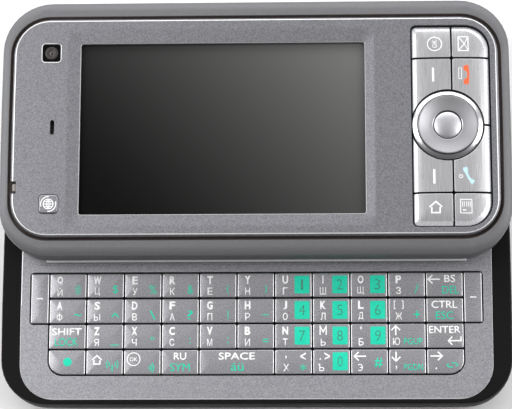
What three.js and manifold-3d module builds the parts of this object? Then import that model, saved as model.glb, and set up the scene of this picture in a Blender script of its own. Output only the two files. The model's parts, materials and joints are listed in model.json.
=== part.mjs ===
// A slider phone lying on its back, opened: the display half has slid up off the keyboard half.
// Millimetres. The origin is the centre of the keyboard half's back face.
// +X runs to the right along the phone, +Y away from the keyboard, +Z out of the display.

import * as THREE from 'three';
import { mergeVertices } from 'three/addons/utils/BufferGeometryUtils.js';
import Module from 'manifold-3d';

const wasm = await Module();
wasm.setup();

// The whole phone
const bodyLength = 119;
const bodyDepth = 61;
const endBow = 0.3;
const stackGap = 0.3;
const fitGap = 0.15;
const slideGap = 0.5;
const overrun = 1;
const cornerSteps = 10;
const endSteps = 6;
const edgeSteps = 4;

// Housing of the keyboard half
const housingRadius = 10.5;
const backEdgeWidth = 3.2;
const backEdgeHeight = 6;
const rimEdgeWidth = 0.5;
const rimEdgeHeight = 2.4;
const shellWall = 1.8;
const shellFloor = 1.2;
const shellFilletWidth = 2.4;
const shellFilletHeight = 4;
const shelfThickness = 1.4;
const endRim = 4.6;
const longRim = 1.2;
const ledgeWidth = 0.9;

// What lies inside the keyboard half, from the back up
const batteryThickness = 4.8;
const batteryEdgeRadius = 2;
const boardThickness = 0.8;
const canHeight = 1;
const canMargin = 4;
const boardMargin = 1.5;
const matThickness = 0.3;
const matMargin = 0.5;
const domeHeight = 0.3;
const domeRadius = 1.2;
const domeSides = 6;

// Keyboard
const deckThickness = 1.2;
const deckRadius = 7.9;
const keyColumns = 11;
const keyRows = 4;
const deckEndMargin = 2.3;
const tallKeyWidth = 4.4;
const deckFrontMargin = 5.7;
const deckTopMargin = 2.56;
const keyRowPitch = 5.985;
const keyGap = 0.35;
const keyHeight = 1.6;
const keyRestGap = 0.4;
const keyStand = 0.2;
const keyCornerRadius = 0.45;
const outerKeyRadius = 3.4;
const keyBevelWidth = 0.3;
const keyBevelHeight = 0.25;
const ridgeWidth = 0.4;
const ridgeHeight = 0.15;
const ridgeOffset = 2.1;
const ridgeEndMargin = 4.4;
const carrierThickness = 0.3;
const carrierWidth = 2;

// Slide
const slidePlateThickness = 0.8;
const runnerInset = 25.5;
const runnerStemWidth = 2;
const runnerHeadWidth = 4.4;
const runnerHeadThickness = 0.8;
const runnerFootWidth = 6;
const runnerFootThickness = 0.5;
const runnerBarWidth = 2.6;
const slotMargin = 2.4;
const pocketDepth = 0.6;
const flexBendMargin = 1.6;
const flexWidth = 8;
const flexThickness = 0.15;
const flexFromBar = 0.5;
const flexReturn = 3.5;
const flexSlotDepth = 0.9;

// Back face of the keyboard half
const coverLeftMargin = 28.5;
const coverRightMargin = 24.5;
const coverTopMargin = 14.5;
const coverSkirt = 2.4;
const gripGrooves = 4;
const gripGrooveLength = 16;
const gripGrooveWidth = 0.8;
const gripGroovePitch = 1.8;
const gripGrooveDepth = 0.35;
const gripFromEdge = 8;
const batteryMargin = 2;
const cameraFromEnd = 13.5;
const cameraFromEdge = 14;
const cameraRadius = 4;
const cameraLensRadius = 2;
const cameraLensDepth = 0.6;
const cameraRecess = 0.2;
const speakerFromEdge = 10;
const speakerWidth = 11;
const speakerDepth = 14;
const speakerHeight = 3.6;
const speakerSlots = 4;
const speakerSlotWidth = 1;
const speakerSlotLength = 7;
const screwInset = 7.5;
const screwHeadRadius = 1.3;
const screwHeadHeight = 0.8;
const screwShankRadius = 0.6;
const screwDepth = 4.4;
const screwBossRadius = 2.2;
const screwSides = 10;

// Edge fittings of the keyboard half
const socketWidth = 7.7;
const socketHeight = 3.9;
const socketLength = 6.5;
const socketWall = 0.4;
const socketRecess = 0.9;
const socketTongueHeight = 0.8;
const sideKeyHeight = 2.6;
const sideKeyProud = 0.4;
const sideKeyFlange = 0.8;
const powerKeyLength = 7;
const powerKeyOffset = 10;
const rockerLength = 15;
const rockerFromEnd = 31.5;
const shutterKeyLength = 9;
const shutterKeyFromEnd = 17.5;

// Frame of the display half
const frameRadius = 11.5;
const frameWall = 1.8;
const frameFootWidth = 1.2;
const frameFootHeight = 1;
const frameDraft = 0.2;
const frameCrownHeight = 1.5;
const frameRimEnd = 2;
const frameRimLong = 3.65;
const grooveWidth = 0.5;
const grooveLand = 0.2;
const frameLedgeWidth = 1.7;
const frameLedgeThickness = 1.2;

// What lies inside the display half, from the slide up
const backCoverThickness = 0.6;
const displayBoardThickness = 0.6;
const displayBoardMargin = 2.7;
const moduleThickness = 1.8;
const moduleMargin = 2.2;
const moduleLip = 0.8;
const modulePocket = 0.3;
const windowThickness = 0.5;
const windowLap = 1.5;

// Face plate
const plateThickness = 1.5;
const plateRadius = 8.65;
const plateStand = 0.7;
const plateBevelWidth = 0.8;
const plateBevelHeight = 0.5;
const windowLeftMargin = 16.2;
const windowRightMargin = 10.65;
const windowTopMargin = 6.3;
const windowBottomMargin = 5.55;
const windowRadius = 0.5;
const dishLeft = 3.2;
const dishRight = 2.65;
const dishTop = 3.85;
const dishBottom = 3.3;
const dishDepth = 0.7;
const dishRadius = 3;

// Pieces in the left band of the face plate
const bandOffset = 3.72;
const frontCameraWidth = 4.3;
const frontCameraRadius = 0.6;
const frontCameraFromTop = 8.5;
const frontCameraBody = 6.4;
const frontCameraRecess = 0.2;
const frontLensRadius = 1.4;
const frontLensDepth = 0.5;
const frontLensFloorShare = 0.7;
const earSlotWidth = 1;
const earSlotLength = 3.5;
const earpieceWidth = 6;
const earpieceLength = 12;
const webKeyWidth = 4.7;
const webKeyRadius = 1;
const webKeyFromBottom = 8;
const webKeyStand = 0.1;
const lightFromBottom = 11.95;
const lightInset = 2.1;
const lightWidth = 1.8;
const lightLength = 2.6;
const lightStem = 0.5;
const lightRecess = 0.1;

// Key cluster to the right of the display
const clusterEndMargin = 2.2;
const clusterWidth = 18.5;
const clusterTopMargin = 2.45;
const clusterBottomMargin = 2.2;
const clusterInnerRadius = 1.3;
const clusterOuterRadiusShare = 0.7375;
const clusterLeftKeyWidth = 9.5;
const outerKeyDepthShare = 0.1665;
const frontKeyGap = 0.3;
const frontKeyRestGap = 0.4;
const frontKeyBevelWidth = 0.9;
const frontKeyBevelHeight = 0.45;
const innerKeyRadius = 0.5;
const keypadMatThickness = 1.4;
const matTailWidth = 1.6;
const matTailThickness = 0.5;
const matTailGap = 0.5;
const navRadius = 8.2;
const navGap = 0.2;
const navRimWidth = 1.3;
const navRimStand = 0.6;
const navDiscStand = 0.15;
const navHoleRadius = 3.5;
const navSides = 40;
const selectRadius = 3.18;
const selectStand = 0.35;
const selectBevel = 0.4;
const webThickness = 0.2;
const webRadius = 6;

// Heights in the keyboard half
const batteryBottom = shellFloor + stackGap;
const mainBoardBottom = batteryBottom + batteryThickness + stackGap;
const mainBoardTop = mainBoardBottom + boardThickness;
const keyBoardBottom = mainBoardTop + canHeight + stackGap;
const keyBoardTop = keyBoardBottom + boardThickness;
const matBottom = keyBoardTop + stackGap;
const domeTop = matBottom + matThickness + domeHeight;
const keyBottom = domeTop + keyRestGap;
const keyTop = keyBottom + keyHeight;
const deckTop = keyTop - keyStand;
const deckBottom = deckTop - deckThickness;
const mouthBottom = deckBottom - stackGap;
const shelfBottom = mouthBottom - shelfThickness + stackGap;
const sideKeyZ = mainBoardBottom + boardThickness / 2;
const screwHeadBottom = stackGap / 2;
const screwHeadTop = screwHeadBottom + screwHeadHeight;
const screwTip = screwHeadTop + screwDepth;
const socketTop = mainBoardBottom - stackGap;
const footBottom = deckTop - runnerFootThickness + stackGap;
const footTop = footBottom + runnerFootThickness;

// Heights in the display half
const slidePlateBottom = keyTop + slideGap;
const slidePlateTop = slidePlateBottom + slidePlateThickness;
const flexLowerZ = deckTop - pocketDepth + stackGap + flexThickness / 2;
const flexUpperZ = slidePlateBottom - stackGap - flexThickness / 2;
const runnerHeadBottom = slidePlateTop + stackGap;
const runnerHeadTop = runnerHeadBottom + runnerHeadThickness;
const backCoverBottom = runnerHeadTop + stackGap;
const displayBoardBottom = backCoverBottom + backCoverThickness + stackGap;
const displayBoardTop = displayBoardBottom + displayBoardThickness;
const moduleBottom = displayBoardTop + stackGap;
const windowBottom = moduleBottom + moduleThickness + stackGap;
const windowTop = windowBottom + windowThickness;
const plateBottom = windowTop + stackGap;
const plateTop = plateBottom + plateThickness;
const frameLedgeTop = plateBottom - stackGap;
const frameCrownTop = plateTop - plateStand;
const frameWaist = frameCrownTop - frameCrownHeight;
const keypadMatTop = moduleBottom + keypadMatThickness;
const frontKeyBottom = keypadMatTop + frontKeyRestGap;
const navWebBottom = keypadMatTop + stackGap;
const navRingBottom = navWebBottom + webThickness + stackGap;

// Places in plan
const halfLength = bodyLength / 2;
const halfDepth = bodyDepth / 2;
const deckHalfX = halfLength - endRim;
const deckHalfY = halfDepth - longRim;
const gridHalfX = deckHalfX - deckEndMargin - tallKeyWidth;
const keyPitch = (2 * gridHalfX) / keyColumns;
const gridBottom = -deckHalfY + deckFrontMargin;
const gridTop = gridBottom + keyRows * keyRowPitch;
const tallKeyBottom = gridTop - 2 * keyRowPitch;
const slideTravel = gridTop + deckTopMargin + halfDepth;
const slidePlateHalfX = halfLength - frameWall - stackGap;
const slidePlateHalfY = halfDepth - frameWall - stackGap;
const slotHalfLength = slidePlateHalfY - slotMargin;
const runnerStart = slideTravel - slotHalfLength + stackGap;
const runnerEnd = slotHalfLength - stackGap;
const runnerX = halfLength - runnerInset;
const plateHalfX = halfLength - frameRimEnd - grooveWidth;
const plateHalfY = halfDepth - frameRimLong - grooveWidth;
const clusterRight = plateHalfX - clusterEndMargin;
const clusterLeft = clusterRight - clusterWidth;
const clusterTop = plateHalfY - clusterTopMargin;
const clusterBottom = -plateHalfY + clusterBottomMargin;
const clusterDepth = clusterTop - clusterBottom;
const outerKeyDepth = clusterDepth * outerKeyDepthShare;
const clusterOuterRadius = outerKeyDepth * clusterOuterRadiusShare;
const navX = clusterLeft + navGap + navRadius;
const navY = (clusterTop + clusterBottom) / 2;
const windowBox = {
  x0: -plateHalfX + windowLeftMargin,
  x1: clusterLeft - windowRightMargin,
  y0: -plateHalfY + windowBottomMargin,
  y1: plateHalfY - windowTopMargin,
};
const dishBox = {
  x0: windowBox.x0 - dishLeft,
  x1: windowBox.x1 + dishRight,
  y0: windowBox.y0 - dishBottom,
  y1: windowBox.y1 + dishTop,
};
const bandX = dishBox.x0 - bandOffset;
const flexStart = runnerStart + flexFromBar;
const flexBendY = runnerEnd + flexBendMargin;
const flexEnd = flexBendY - flexReturn;
const flexOpening = flexEnd - slideTravel;
const socketEnd = halfLength - socketRecess;
const backCameraX = -halfLength + cameraFromEnd;
const backCameraY = halfDepth - cameraFromEdge;
const speakerX = backCameraX;
const speakerY = -halfDepth + speakerFromEdge + speakerDepth / 2;

// The housing is hooked together at its left end and screwed at its right end.
const screwX = halfLength - screwInset;
const screwPlaces = {
  near_screw: -(halfDepth - screwInset),
  far_screw: halfDepth - screwInset,
};

// Side keys: their place along the edge, their length, and the edge that they stand in.
const sideKeys = {
  power_key: { at: powerKeyOffset, length: powerKeyLength, edge: 'end' },
  volume_rocker: { at: -halfLength + rockerFromEnd, length: rockerLength, edge: 'long' },
  camera_key: { at: halfLength - shutterKeyFromEnd, length: shutterKeyLength, edge: 'long' },
};

// Openings of the left band
const frontCameraBox = boxAt(
  bandX,
  plateHalfY - frontCameraFromTop,
  frontCameraWidth,
  frontCameraWidth,
);
const earSlotBox = boxAt(bandX + earSlotWidth / 2, navY, earSlotWidth, earSlotLength);
const webKeyBox = boxAt(bandX, -plateHalfY + webKeyFromBottom, webKeyWidth, webKeyWidth);
const lightX1 = -plateHalfX + lightInset;
const lightBox = {
  x0: lightX1 - lightWidth,
  x1: lightX1,
  y0: -plateHalfY + lightFromBottom - lightLength / 2,
  y1: -plateHalfY + lightFromBottom + lightLength / 2,
};

// The eight keys round the ring, in two columns, from the top down.
const frontKeys = [
  ['ok_key', 'mail_key'],
  ['soft_key_upper', 'end_key'],
  ['soft_key_lower', 'call_key'],
  ['start_key', 'contacts_key'],
];

// The keyboard's upper rows: a run of letter keys between the keys that stand alone.
const upperRows = [
  { left: [], letters: 'q_row_keys', right: ['backspace_key'] },
  { left: [], letters: 'a_row_keys', right: ['ctrl_key'] },
  { left: ['shift_key'], letters: 'z_row_keys', right: ['up_arrow_key', 'enter_key'] },
];

// The bottom row, one name for each column that a key fills.
const bottomRow = [
  'function_key',
  'home_key',
  'keyboard_ok_key',
  'symbol_key',
  'space_bar',
  'space_bar',
  'comma_key',
  'period_key',
  'left_arrow_key',
  'down_arrow_key',
  'right_arrow_key',
];

const finishes = {
  greyPaint: { color: '#8f8f94', roughness: 0.45, metalness: 0.55 },
  deckPaint: { color: '#a2a2a6', roughness: 0.5, metalness: 0.5 },
  blackPlastic: { color: '#2b2b2e', roughness: 0.75, metalness: 0 },
  keySilver: { color: '#a9a9ad', roughness: 0.4, metalness: 0.6 },
  keyGrey: { color: '#8b8b8f', roughness: 0.5, metalness: 0.3 },
  chrome: { color: '#d9d9dc', roughness: 0.15, metalness: 1 },
  glass: { color: '#15161a', roughness: 0.08, metalness: 0 },
  steel: { color: '#b5b6ba', roughness: 0.35, metalness: 1 },
  board: { color: '#1f5b3a', roughness: 0.6, metalness: 0 },
  silicone: { color: '#d8d8d4', roughness: 0.8, metalness: 0 },
  lightPipe: { color: '#6d3a34', roughness: 0.3, metalness: 0 },
  wrap: { color: '#c9cdd2', roughness: 0.5, metalness: 0 },
  runner: { color: '#e6e4dc', roughness: 0.45, metalness: 0 },
  flexFilm: { color: '#b5722a', roughness: 0.4, metalness: 0 },
};

// Turns a closed geometry into a solid that can be joined and cut.
function solidOf(geometry) {
  const bare = geometry.clone();
  bare.deleteAttribute('normal');
  bare.deleteAttribute('uv');
  const merged = mergeVertices(bare);
  const mesh = new wasm.Mesh({
    numProp: 3,
    vertProperties: new Float32Array(merged.attributes.position.array),
    triVerts: new Uint32Array(merged.index.array),
  });
  return new wasm.Manifold(mesh);
}

function geometryOf(solid) {
  const mesh = solid.getMesh();
  const geometry = new THREE.BufferGeometry();
  geometry.setAttribute('position', new THREE.BufferAttribute(mesh.vertProperties, mesh.numProp));
  geometry.setIndex(new THREE.BufferAttribute(mesh.triVerts, 1));
  geometry.computeVertexNormals();
  return geometry;
}

function joined(solids) {
  return solids.reduce((whole, solid) => whole.add(solid));
}

function cut(solid, cutters) {
  return cutters.reduce((rest, cutter) => rest.subtract(cutter), solid);
}

// Boxes in plan: { x0, x1, y0, y1 }.
function centredBox(halfX, halfY) {
  return { x0: -halfX, x1: halfX, y0: -halfY, y1: halfY };
}

function boxAt(x, y, width, depth) {
  return { x0: x - width / 2, x1: x + width / 2, y0: y - depth / 2, y1: y + depth / 2 };
}

function grown(box, by) {
  return { x0: box.x0 - by, x1: box.x1 + by, y0: box.y0 - by, y1: box.y1 + by };
}

// A rounded rectangle, anticlockwise from its lower left corner. radii gives the corners in
// that order. Its two ends are divided so that they can be bowed.
function outline(box, radii, steps = cornerSteps, endParts = 1) {
  const corners = [
    [box.x0, box.y0, 1, 1],
    [box.x1, box.y0, -1, 1],
    [box.x1, box.y1, -1, -1],
    [box.x0, box.y1, 1, -1],
  ];
  const points = [];
  corners.forEach(([x, y, inX, inY], corner) => {
    const radius = cornerOf(radii, corner);
    for (let i = 0; i <= steps; i++) {
      const angle = ((corner + 2 + i / steps) * Math.PI) / 2;
      points.push(new THREE.Vector2(
        x + inX * radius + radius * Math.cos(angle),
        y + inY * radius + radius * Math.sin(angle),
      ));
    }
    if (corner === 1 || corner === 3) {
      const last = points[points.length - 1];
      const next = corner === 1 ? box.y1 - cornerOf(radii, 2) : box.y0 + cornerOf(radii, 0);
      for (let i = 1; i < endParts; i++) {
        points.push(new THREE.Vector2(last.x, last.y + ((next - last.y) * i) / endParts));
      }
    }
  });
  return points;
}

function cornerOf(radii, corner) {
  return Array.isArray(radii) ? radii[corner] : radii;
}

// Bows both ends of the phone outwards: the outline keeps its full length at mid depth.
function bowed(points) {
  return points.map((point) => {
    const share = point.y / halfDepth;
    return new THREE.Vector2(point.x * (1 - (endBow * share * share) / halfLength), point.y);
  });
}

function bodyOutline(halfX, halfY, radius) {
  return bowed(outline(centredBox(halfX, halfY), radius, cornerSteps, endSteps));
}

// Joins a stack of outlines, each { points, z }, into one closed body with flat ends.
function loft(rings) {
  const count = rings[0].points.length;
  const positions = [];
  const index = [];
  for (const ring of rings) {
    for (const point of ring.points) {
      positions.push(point.x, point.y, ring.z);
    }
  }
  for (let level = 0; level < rings.length - 1; level++) {
    for (let i = 0; i < count; i++) {
      const a = level * count + i;
      const b = level * count + ((i + 1) % count);
      index.push(a, b, b + count, a, b + count, a + count);
    }
  }
  const last = (rings.length - 1) * count;
  for (const [a, b, c] of THREE.ShapeUtils.triangulateShape(rings[0].points, [])) {
    index.push(c, b, a);
  }
  for (const [a, b, c] of THREE.ShapeUtils.triangulateShape(rings[rings.length - 1].points, [])) {
    index.push(last + a, last + b, last + c);
  }
  const geometry = new THREE.BufferGeometry();
  geometry.setAttribute('position', new THREE.Float32BufferAttribute(positions, 3));
  geometry.setIndex(index);
  return solidOf(geometry);
}

function prism(points, bottom, top) {
  const settings = { depth: top - bottom, bevelEnabled: false };
  const geometry = new THREE.ExtrudeGeometry(new THREE.Shape(points), settings);
  return solidOf(geometry.translate(0, 0, bottom));
}

function block(box, bottom, top) {
  const geometry = new THREE.BoxGeometry(box.x1 - box.x0, box.y1 - box.y0, top - bottom);
  const middle = [(box.x0 + box.x1) / 2, (box.y0 + box.y1) / 2, (bottom + top) / 2];
  return solidOf(geometry.translate(...middle));
}

// A block with rounded corners whose top edge is bevelled.
function bevelledBlock(box, radii, bottom, top, bevel, steps = cornerSteps) {
  const inner = (Array.isArray(radii) ? radii : [radii, radii, radii, radii]).map(
    (radius) => Math.max(radius - bevel.width, radius / 2),
  );
  return loft([
    { points: outline(box, radii, steps), z: bottom },
    { points: outline(box, radii, steps), z: top - bevel.height },
    { points: outline(grown(box, -bevel.width), inner, steps), z: top },
  ]);
}

function lathed(profile, x, y, sides) {
  const points = profile.map(([radius, z]) => new THREE.Vector2(radius, z));
  const geometry = new THREE.LatheGeometry(points, sides);
  return solidOf(geometry.rotateX(Math.PI / 2).translate(x, y, 0));
}

function post(x, y, radius, bottom, top, sides = screwSides) {
  return lathed([[0, bottom], [radius, bottom], [radius, top], [0, top]], x, y, sides);
}

// An outline in the YZ plane carried along X from one x to another.
function alongX(points, from, to) {
  const settings = { depth: to - from, bevelEnabled: false };
  const geometry = new THREE.ExtrudeGeometry(new THREE.Shape(points), settings);
  const turn = new THREE.Matrix4().makeBasis(
    new THREE.Vector3(0, 1, 0),
    new THREE.Vector3(0, 0, 1),
    new THREE.Vector3(1, 0, 0),
  );
  return solidOf(geometry.applyMatrix4(turn).translate(from, 0, 0));
}

// An outline whose points are (-X, Z), carried along Y from one y to another.
function alongY(points, from, to) {
  const settings = { depth: to - from, bevelEnabled: false };
  const geometry = new THREE.ExtrudeGeometry(new THREE.Shape(points), settings);
  const turn = new THREE.Matrix4().makeBasis(
    new THREE.Vector3(-1, 0, 0),
    new THREE.Vector3(0, 0, 1),
    new THREE.Vector3(0, 1, 0),
  );
  return solidOf(geometry.applyMatrix4(turn).translate(0, from, 0));
}

// A quarter round: edge steps from the flat out to the side, as shares of its width and height.
function quarterShares() {
  const shares = [];
  for (let i = 0; i <= edgeSteps; i++) {
    const angle = (i / edgeSteps) * (Math.PI / 2);
    shares.push({ inset: 1 - Math.sin(angle), rise: 1 - Math.cos(angle) });
  }
  return shares;
}

function housingRing(inset, z) {
  return { points: bodyOutline(halfLength - inset, halfDepth - inset, housingRadius - inset), z };
}

function housingBlank() {
  const rings = [];
  for (const { inset, rise } of quarterShares()) {
    rings.push(housingRing(inset * backEdgeWidth, rise * backEdgeHeight));
  }
  for (const { inset, rise } of quarterShares().reverse()) {
    rings.push(housingRing(inset * rimEdgeWidth, deckTop - rise * rimEdgeHeight));
  }
  return loft(rings);
}

function housingCavity() {
  const rings = [];
  for (const { inset, rise } of quarterShares()) {
    const wall = shellWall + inset * shellFilletWidth;
    rings.push(housingRing(wall, shellFloor + rise * shellFilletHeight));
  }
  rings.push(housingRing(shellWall, shelfBottom));
  const neck = bodyOutline(deckHalfX - ledgeWidth, halfDepth - shellWall, deckRadius - ledgeWidth);
  const mouth = bodyOutline(deckHalfX + fitGap, deckHalfY + fitGap, deckRadius + fitGap);
  return joined([
    loft(rings),
    prism(neck, shelfBottom - stackGap, mouthBottom + stackGap),
    prism(mouth, mouthBottom, deckTop + overrun),
  ]);
}

function coverBox() {
  return {
    x0: -halfLength + coverLeftMargin,
    x1: halfLength - coverRightMargin,
    y0: -halfDepth - overrun,
    y1: halfDepth - coverTopMargin,
  };
}

function batteryCover() {
  const walls = housingBlank().subtract(housingCavity());
  const cover = walls.intersect(block(coverBox(), -overrun, coverSkirt));
  const middle = (coverBox().x0 + coverBox().x1) / 2;
  const grooves = [];
  for (let i = 0; i < gripGrooves; i++) {
    const y = -halfDepth + gripFromEdge + i * gripGroovePitch;
    const groove = boxAt(middle, y, gripGrooveLength, gripGrooveWidth);
    grooves.push(prism(outline(groove, gripGrooveWidth / 2, 2), -overrun, gripGrooveDepth));
  }
  return cut(cover, grooves);
}

function screwBosses() {
  const bossTop = mainBoardBottom - stackGap;
  return Object.values(screwPlaces).map((y) => post(screwX, y, screwBossRadius, shellFloor / 2, bossTop));
}

function screwHoles() {
  return Object.values(screwPlaces).map((y) => lathed([
    [0, -overrun],
    [screwHeadRadius + fitGap, -overrun],
    [screwHeadRadius + fitGap, screwHeadTop + fitGap],
    [screwShankRadius + fitGap, screwHeadTop + fitGap],
    [screwShankRadius + fitGap, screwTip + fitGap],
    [0, screwTip + fitGap],
  ], screwX, y, screwSides));
}

function housingScrew(name) {
  return lathed([
    [0, screwHeadBottom],
    [screwHeadRadius, screwHeadBottom],
    [screwHeadRadius, screwHeadTop],
    [screwShankRadius, screwHeadTop],
    [screwShankRadius, screwTip],
    [0, screwTip],
  ], screwX, screwPlaces[name], screwSides);
}

function rearCamera() {
  const top = mainBoardBottom - stackGap;
  return lathed([
    [0, cameraRecess + cameraLensDepth],
    [cameraLensRadius, cameraRecess + cameraLensDepth],
    [cameraLensRadius + cameraLensDepth, cameraRecess],
    [cameraRadius, cameraRecess],
    [cameraRadius, top],
    [0, top],
  ], backCameraX, backCameraY, 2 * screwSides);
}

function loudspeaker() {
  const box = boxAt(speakerX, speakerY, speakerWidth, speakerDepth);
  const radius = batteryEdgeRadius;
  return prism(outline(box, radius, 2), batteryBottom, batteryBottom + speakerHeight);
}

function speakerSlotCutters() {
  const pitch = 2 * speakerSlotWidth;
  const cutters = [];
  for (let i = 0; i < speakerSlots; i++) {
    const y = speakerY + (i - (speakerSlots - 1) / 2) * pitch;
    const slot = boxAt(speakerX, y, speakerSlotLength, speakerSlotWidth);
    cutters.push(prism(outline(slot, speakerSlotWidth / 2, 2), -overrun, shellFloor + overrun));
  }
  return cutters;
}

function socketBox(grow) {
  return {
    x0: -socketWidth / 2 - grow,
    x1: socketWidth / 2 + grow,
    y0: socketTop - socketHeight - grow,
    y1: socketTop + grow,
  };
}

function usbSocket() {
  const start = socketEnd - socketLength;
  const radius = socketWall + fitGap;
  const shell = alongX(outline(socketBox(0), radius, 2), start, socketEnd);
  const hollow = alongX(
    outline(socketBox(-socketWall), radius / 2, 2),
    start + 2 * socketWall,
    socketEnd + overrun,
  );
  const middle = socketTop - socketHeight / 2;
  const tongue = {
    x0: -socketWidth / 4,
    x1: socketWidth / 4,
    y0: middle,
    y1: middle + socketTongueHeight,
  };
  const tongueEnd = socketEnd - 2 * socketWall;
  return shell.subtract(hollow).add(alongX(outline(tongue, fitGap, 1), start + socketWall, tongueEnd));
}

function socketHole() {
  const points = outline(socketBox(fitGap), socketWall + 2 * fitGap, 2);
  return alongX(points, socketEnd - socketLength, halfLength + overrun);
}

function sideKeyOutline(key, grow, signed) {
  const height = sideKeyHeight + 2 * grow;
  const box = boxAt(signed * key.at, sideKeyZ, key.length + 2 * grow, height);
  return outline(box, height / 2, 4);
}

function sideKey(name) {
  const key = sideKeys[name];
  const flangeGrow = sideKeyFlange;
  if (key.edge === 'end') {
    const inner = -halfLength + shellWall + stackGap;
    return joined([
      alongX(sideKeyOutline(key, 0, 1), -halfLength - sideKeyProud, inner + fitGap),
      alongX(sideKeyOutline(key, flangeGrow, 1), inner, inner + sideKeyFlange),
    ]);
  }
  const inner = halfDepth - shellWall - stackGap;
  return joined([
    alongY(sideKeyOutline(key, 0, -1), inner - fitGap, halfDepth + sideKeyProud),
    alongY(sideKeyOutline(key, flangeGrow, -1), inner - sideKeyFlange, inner),
  ]);
}

function sideKeyHole(name) {
  const key = sideKeys[name];
  if (key.edge === 'end') {
    const inside = -halfLength + shellWall + overrun;
    return alongX(sideKeyOutline(key, stackGap, 1), -halfLength - overrun, inside);
  }
  return alongY(sideKeyOutline(key, stackGap, -1), halfDepth - shellWall - overrun, halfDepth + overrun);
}

function backShell() {
  const walls = housingBlank().subtract(housingCavity());
  const cover = coverBox();
  const bay = { x0: cover.x0 - stackGap, x1: cover.x1 + stackGap, y0: cover.y0, y1: cover.y1 + stackGap };
  return cut(walls.add(joined(screwBosses())), [
    block(bay, -overrun, coverSkirt + stackGap),
    ...screwHoles(),
    post(backCameraX, backCameraY, cameraRadius + stackGap, -overrun, shellFloor + overrun, 2 * screwSides),
    ...speakerSlotCutters(),
    socketHole(),
    ...Object.keys(sideKeys).map(sideKeyHole),
  ]);
}

function battery() {
  const box = grown({ ...coverBox(), y0: -halfDepth + batteryMargin }, -batteryMargin);
  return prism(outline(box, batteryEdgeRadius, 3), batteryBottom, batteryBottom + batteryThickness);
}

function mainBoard() {
  const halfX = halfLength - shellWall - boardMargin;
  const halfY = halfDepth - shellWall - boardMargin;
  const board = prism(bodyOutline(halfX, halfY, housingRadius / 2), mainBoardBottom, mainBoardTop);
  const cans = [];
  for (const side of [-1, 1]) {
    const can = boxAt((side * halfX) / 2, halfY / 3, halfX - 2 * canMargin, halfY - canMargin);
    cans.push(prism(outline(can, canHeight, 2), mainBoardTop - fitGap, mainBoardTop + canHeight));
  }
  return board.add(joined(cans));
}

function keyboardBoard() {
  const halfX = deckHalfX - ledgeWidth - matMargin;
  const halfY = halfDepth - shellWall - boardMargin;
  return prism(bodyOutline(halfX, halfY, deckRadius / 2), keyBoardBottom, keyBoardTop);
}

// The box that one key of the grid fills; rows count down from the display, columns from the left.
function keyBox(row, column, span = 1) {
  const x0 = -gridHalfX + column * keyPitch;
  const y1 = gridTop - row * keyRowPitch;
  return grown({ x0, x1: x0 + span * keyPitch, y0: y1 - keyRowPitch, y1 }, -keyGap / 2);
}

function tallKeyBox(side) {
  const x0 = side < 0 ? -gridHalfX - tallKeyWidth : gridHalfX;
  const box = { x0, x1: x0 + tallKeyWidth, y0: tallKeyBottom, y1: gridTop };
  return grown(box, -keyGap / 2);
}

function keyCap(box, radii = keyCornerRadius, steps = 1) {
  const bevel = { width: keyBevelWidth, height: keyBevelHeight };
  return bevelledBlock(box, radii, keyBottom, keyTop, bevel, steps);
}

// A key of the bottom row. The outer corner of its two end keys follows the deck's corner.
function bottomKey(name) {
  const first = bottomRow.indexOf(name);
  const last = bottomRow.lastIndexOf(name);
  const round = outerKeyRadius - keyGap / 2;
  const small = keyCornerRadius;
  const box = keyBox(keyRows - 1, first, last - first + 1);
  if (first === 0) {
    return keyCap(box, [round, small, small, small], 4);
  }
  if (last === keyColumns - 1) {
    return keyCap(box, [small, round, small, small], 4);
  }
  return keyCap(box);
}

// The letter keys of one row: separate caps on the thin strip that carries them.
function rowKeys(row, from, to) {
  const caps = [];
  for (let column = from; column <= to; column++) {
    caps.push(keyCap(keyBox(row, column)));
  }
  const first = keyBox(row, from);
  const middle = (first.y0 + first.y1) / 2;
  const strip = {
    x0: first.x0 + keyCornerRadius,
    x1: keyBox(row, to).x1 - keyCornerRadius,
    y0: middle - carrierWidth / 2,
    y1: middle + carrierWidth / 2,
  };
  return joined([...caps, block(strip, keyBottom, keyBottom + carrierThickness)]);
}

function keyMat() {
  const box = {
    x0: -gridHalfX - tallKeyWidth,
    x1: gridHalfX + tallKeyWidth,
    y0: gridBottom,
    y1: gridTop,
  };
  const sheet = block(grown(box, matMargin / 2), matBottom, matBottom + matThickness);
  const domes = [];
  const addDome = (x, y) => {
    domes.push(post(x, y, domeRadius, matBottom + matThickness / 2, domeTop, domeSides));
  };
  for (let row = 0; row < keyRows; row++) {
    for (let column = 0; column < keyColumns; column++) {
      const key = keyBox(row, column);
      addDome((key.x0 + key.x1) / 2, (key.y0 + key.y1) / 2);
    }
  }
  for (const side of [-1, 1]) {
    addDome(side * (gridHalfX + tallKeyWidth / 2), gridTop - keyRowPitch);
  }
  return sheet.add(joined(domes));
}

function keyOpening() {
  const grid = { x0: -gridHalfX, x1: gridHalfX, y0: gridBottom, y1: gridTop };
  const outerX = gridHalfX + tallKeyWidth;
  const sides = { x0: -outerX, x1: outerX, y0: tallKeyBottom, y1: gridTop };
  const grow = keyGap / 2;
  const corner = outerKeyRadius + grow;
  const small = keyCornerRadius + grow;
  const bottom = deckBottom - overrun;
  const top = deckTop + overrun;
  return joined([
    prism(outline(grown(grid, grow), [corner, corner, small, small]), bottom, top),
    prism(outline(grown(sides, grow), small + grow, 2), bottom, top),
  ]);
}

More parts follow.
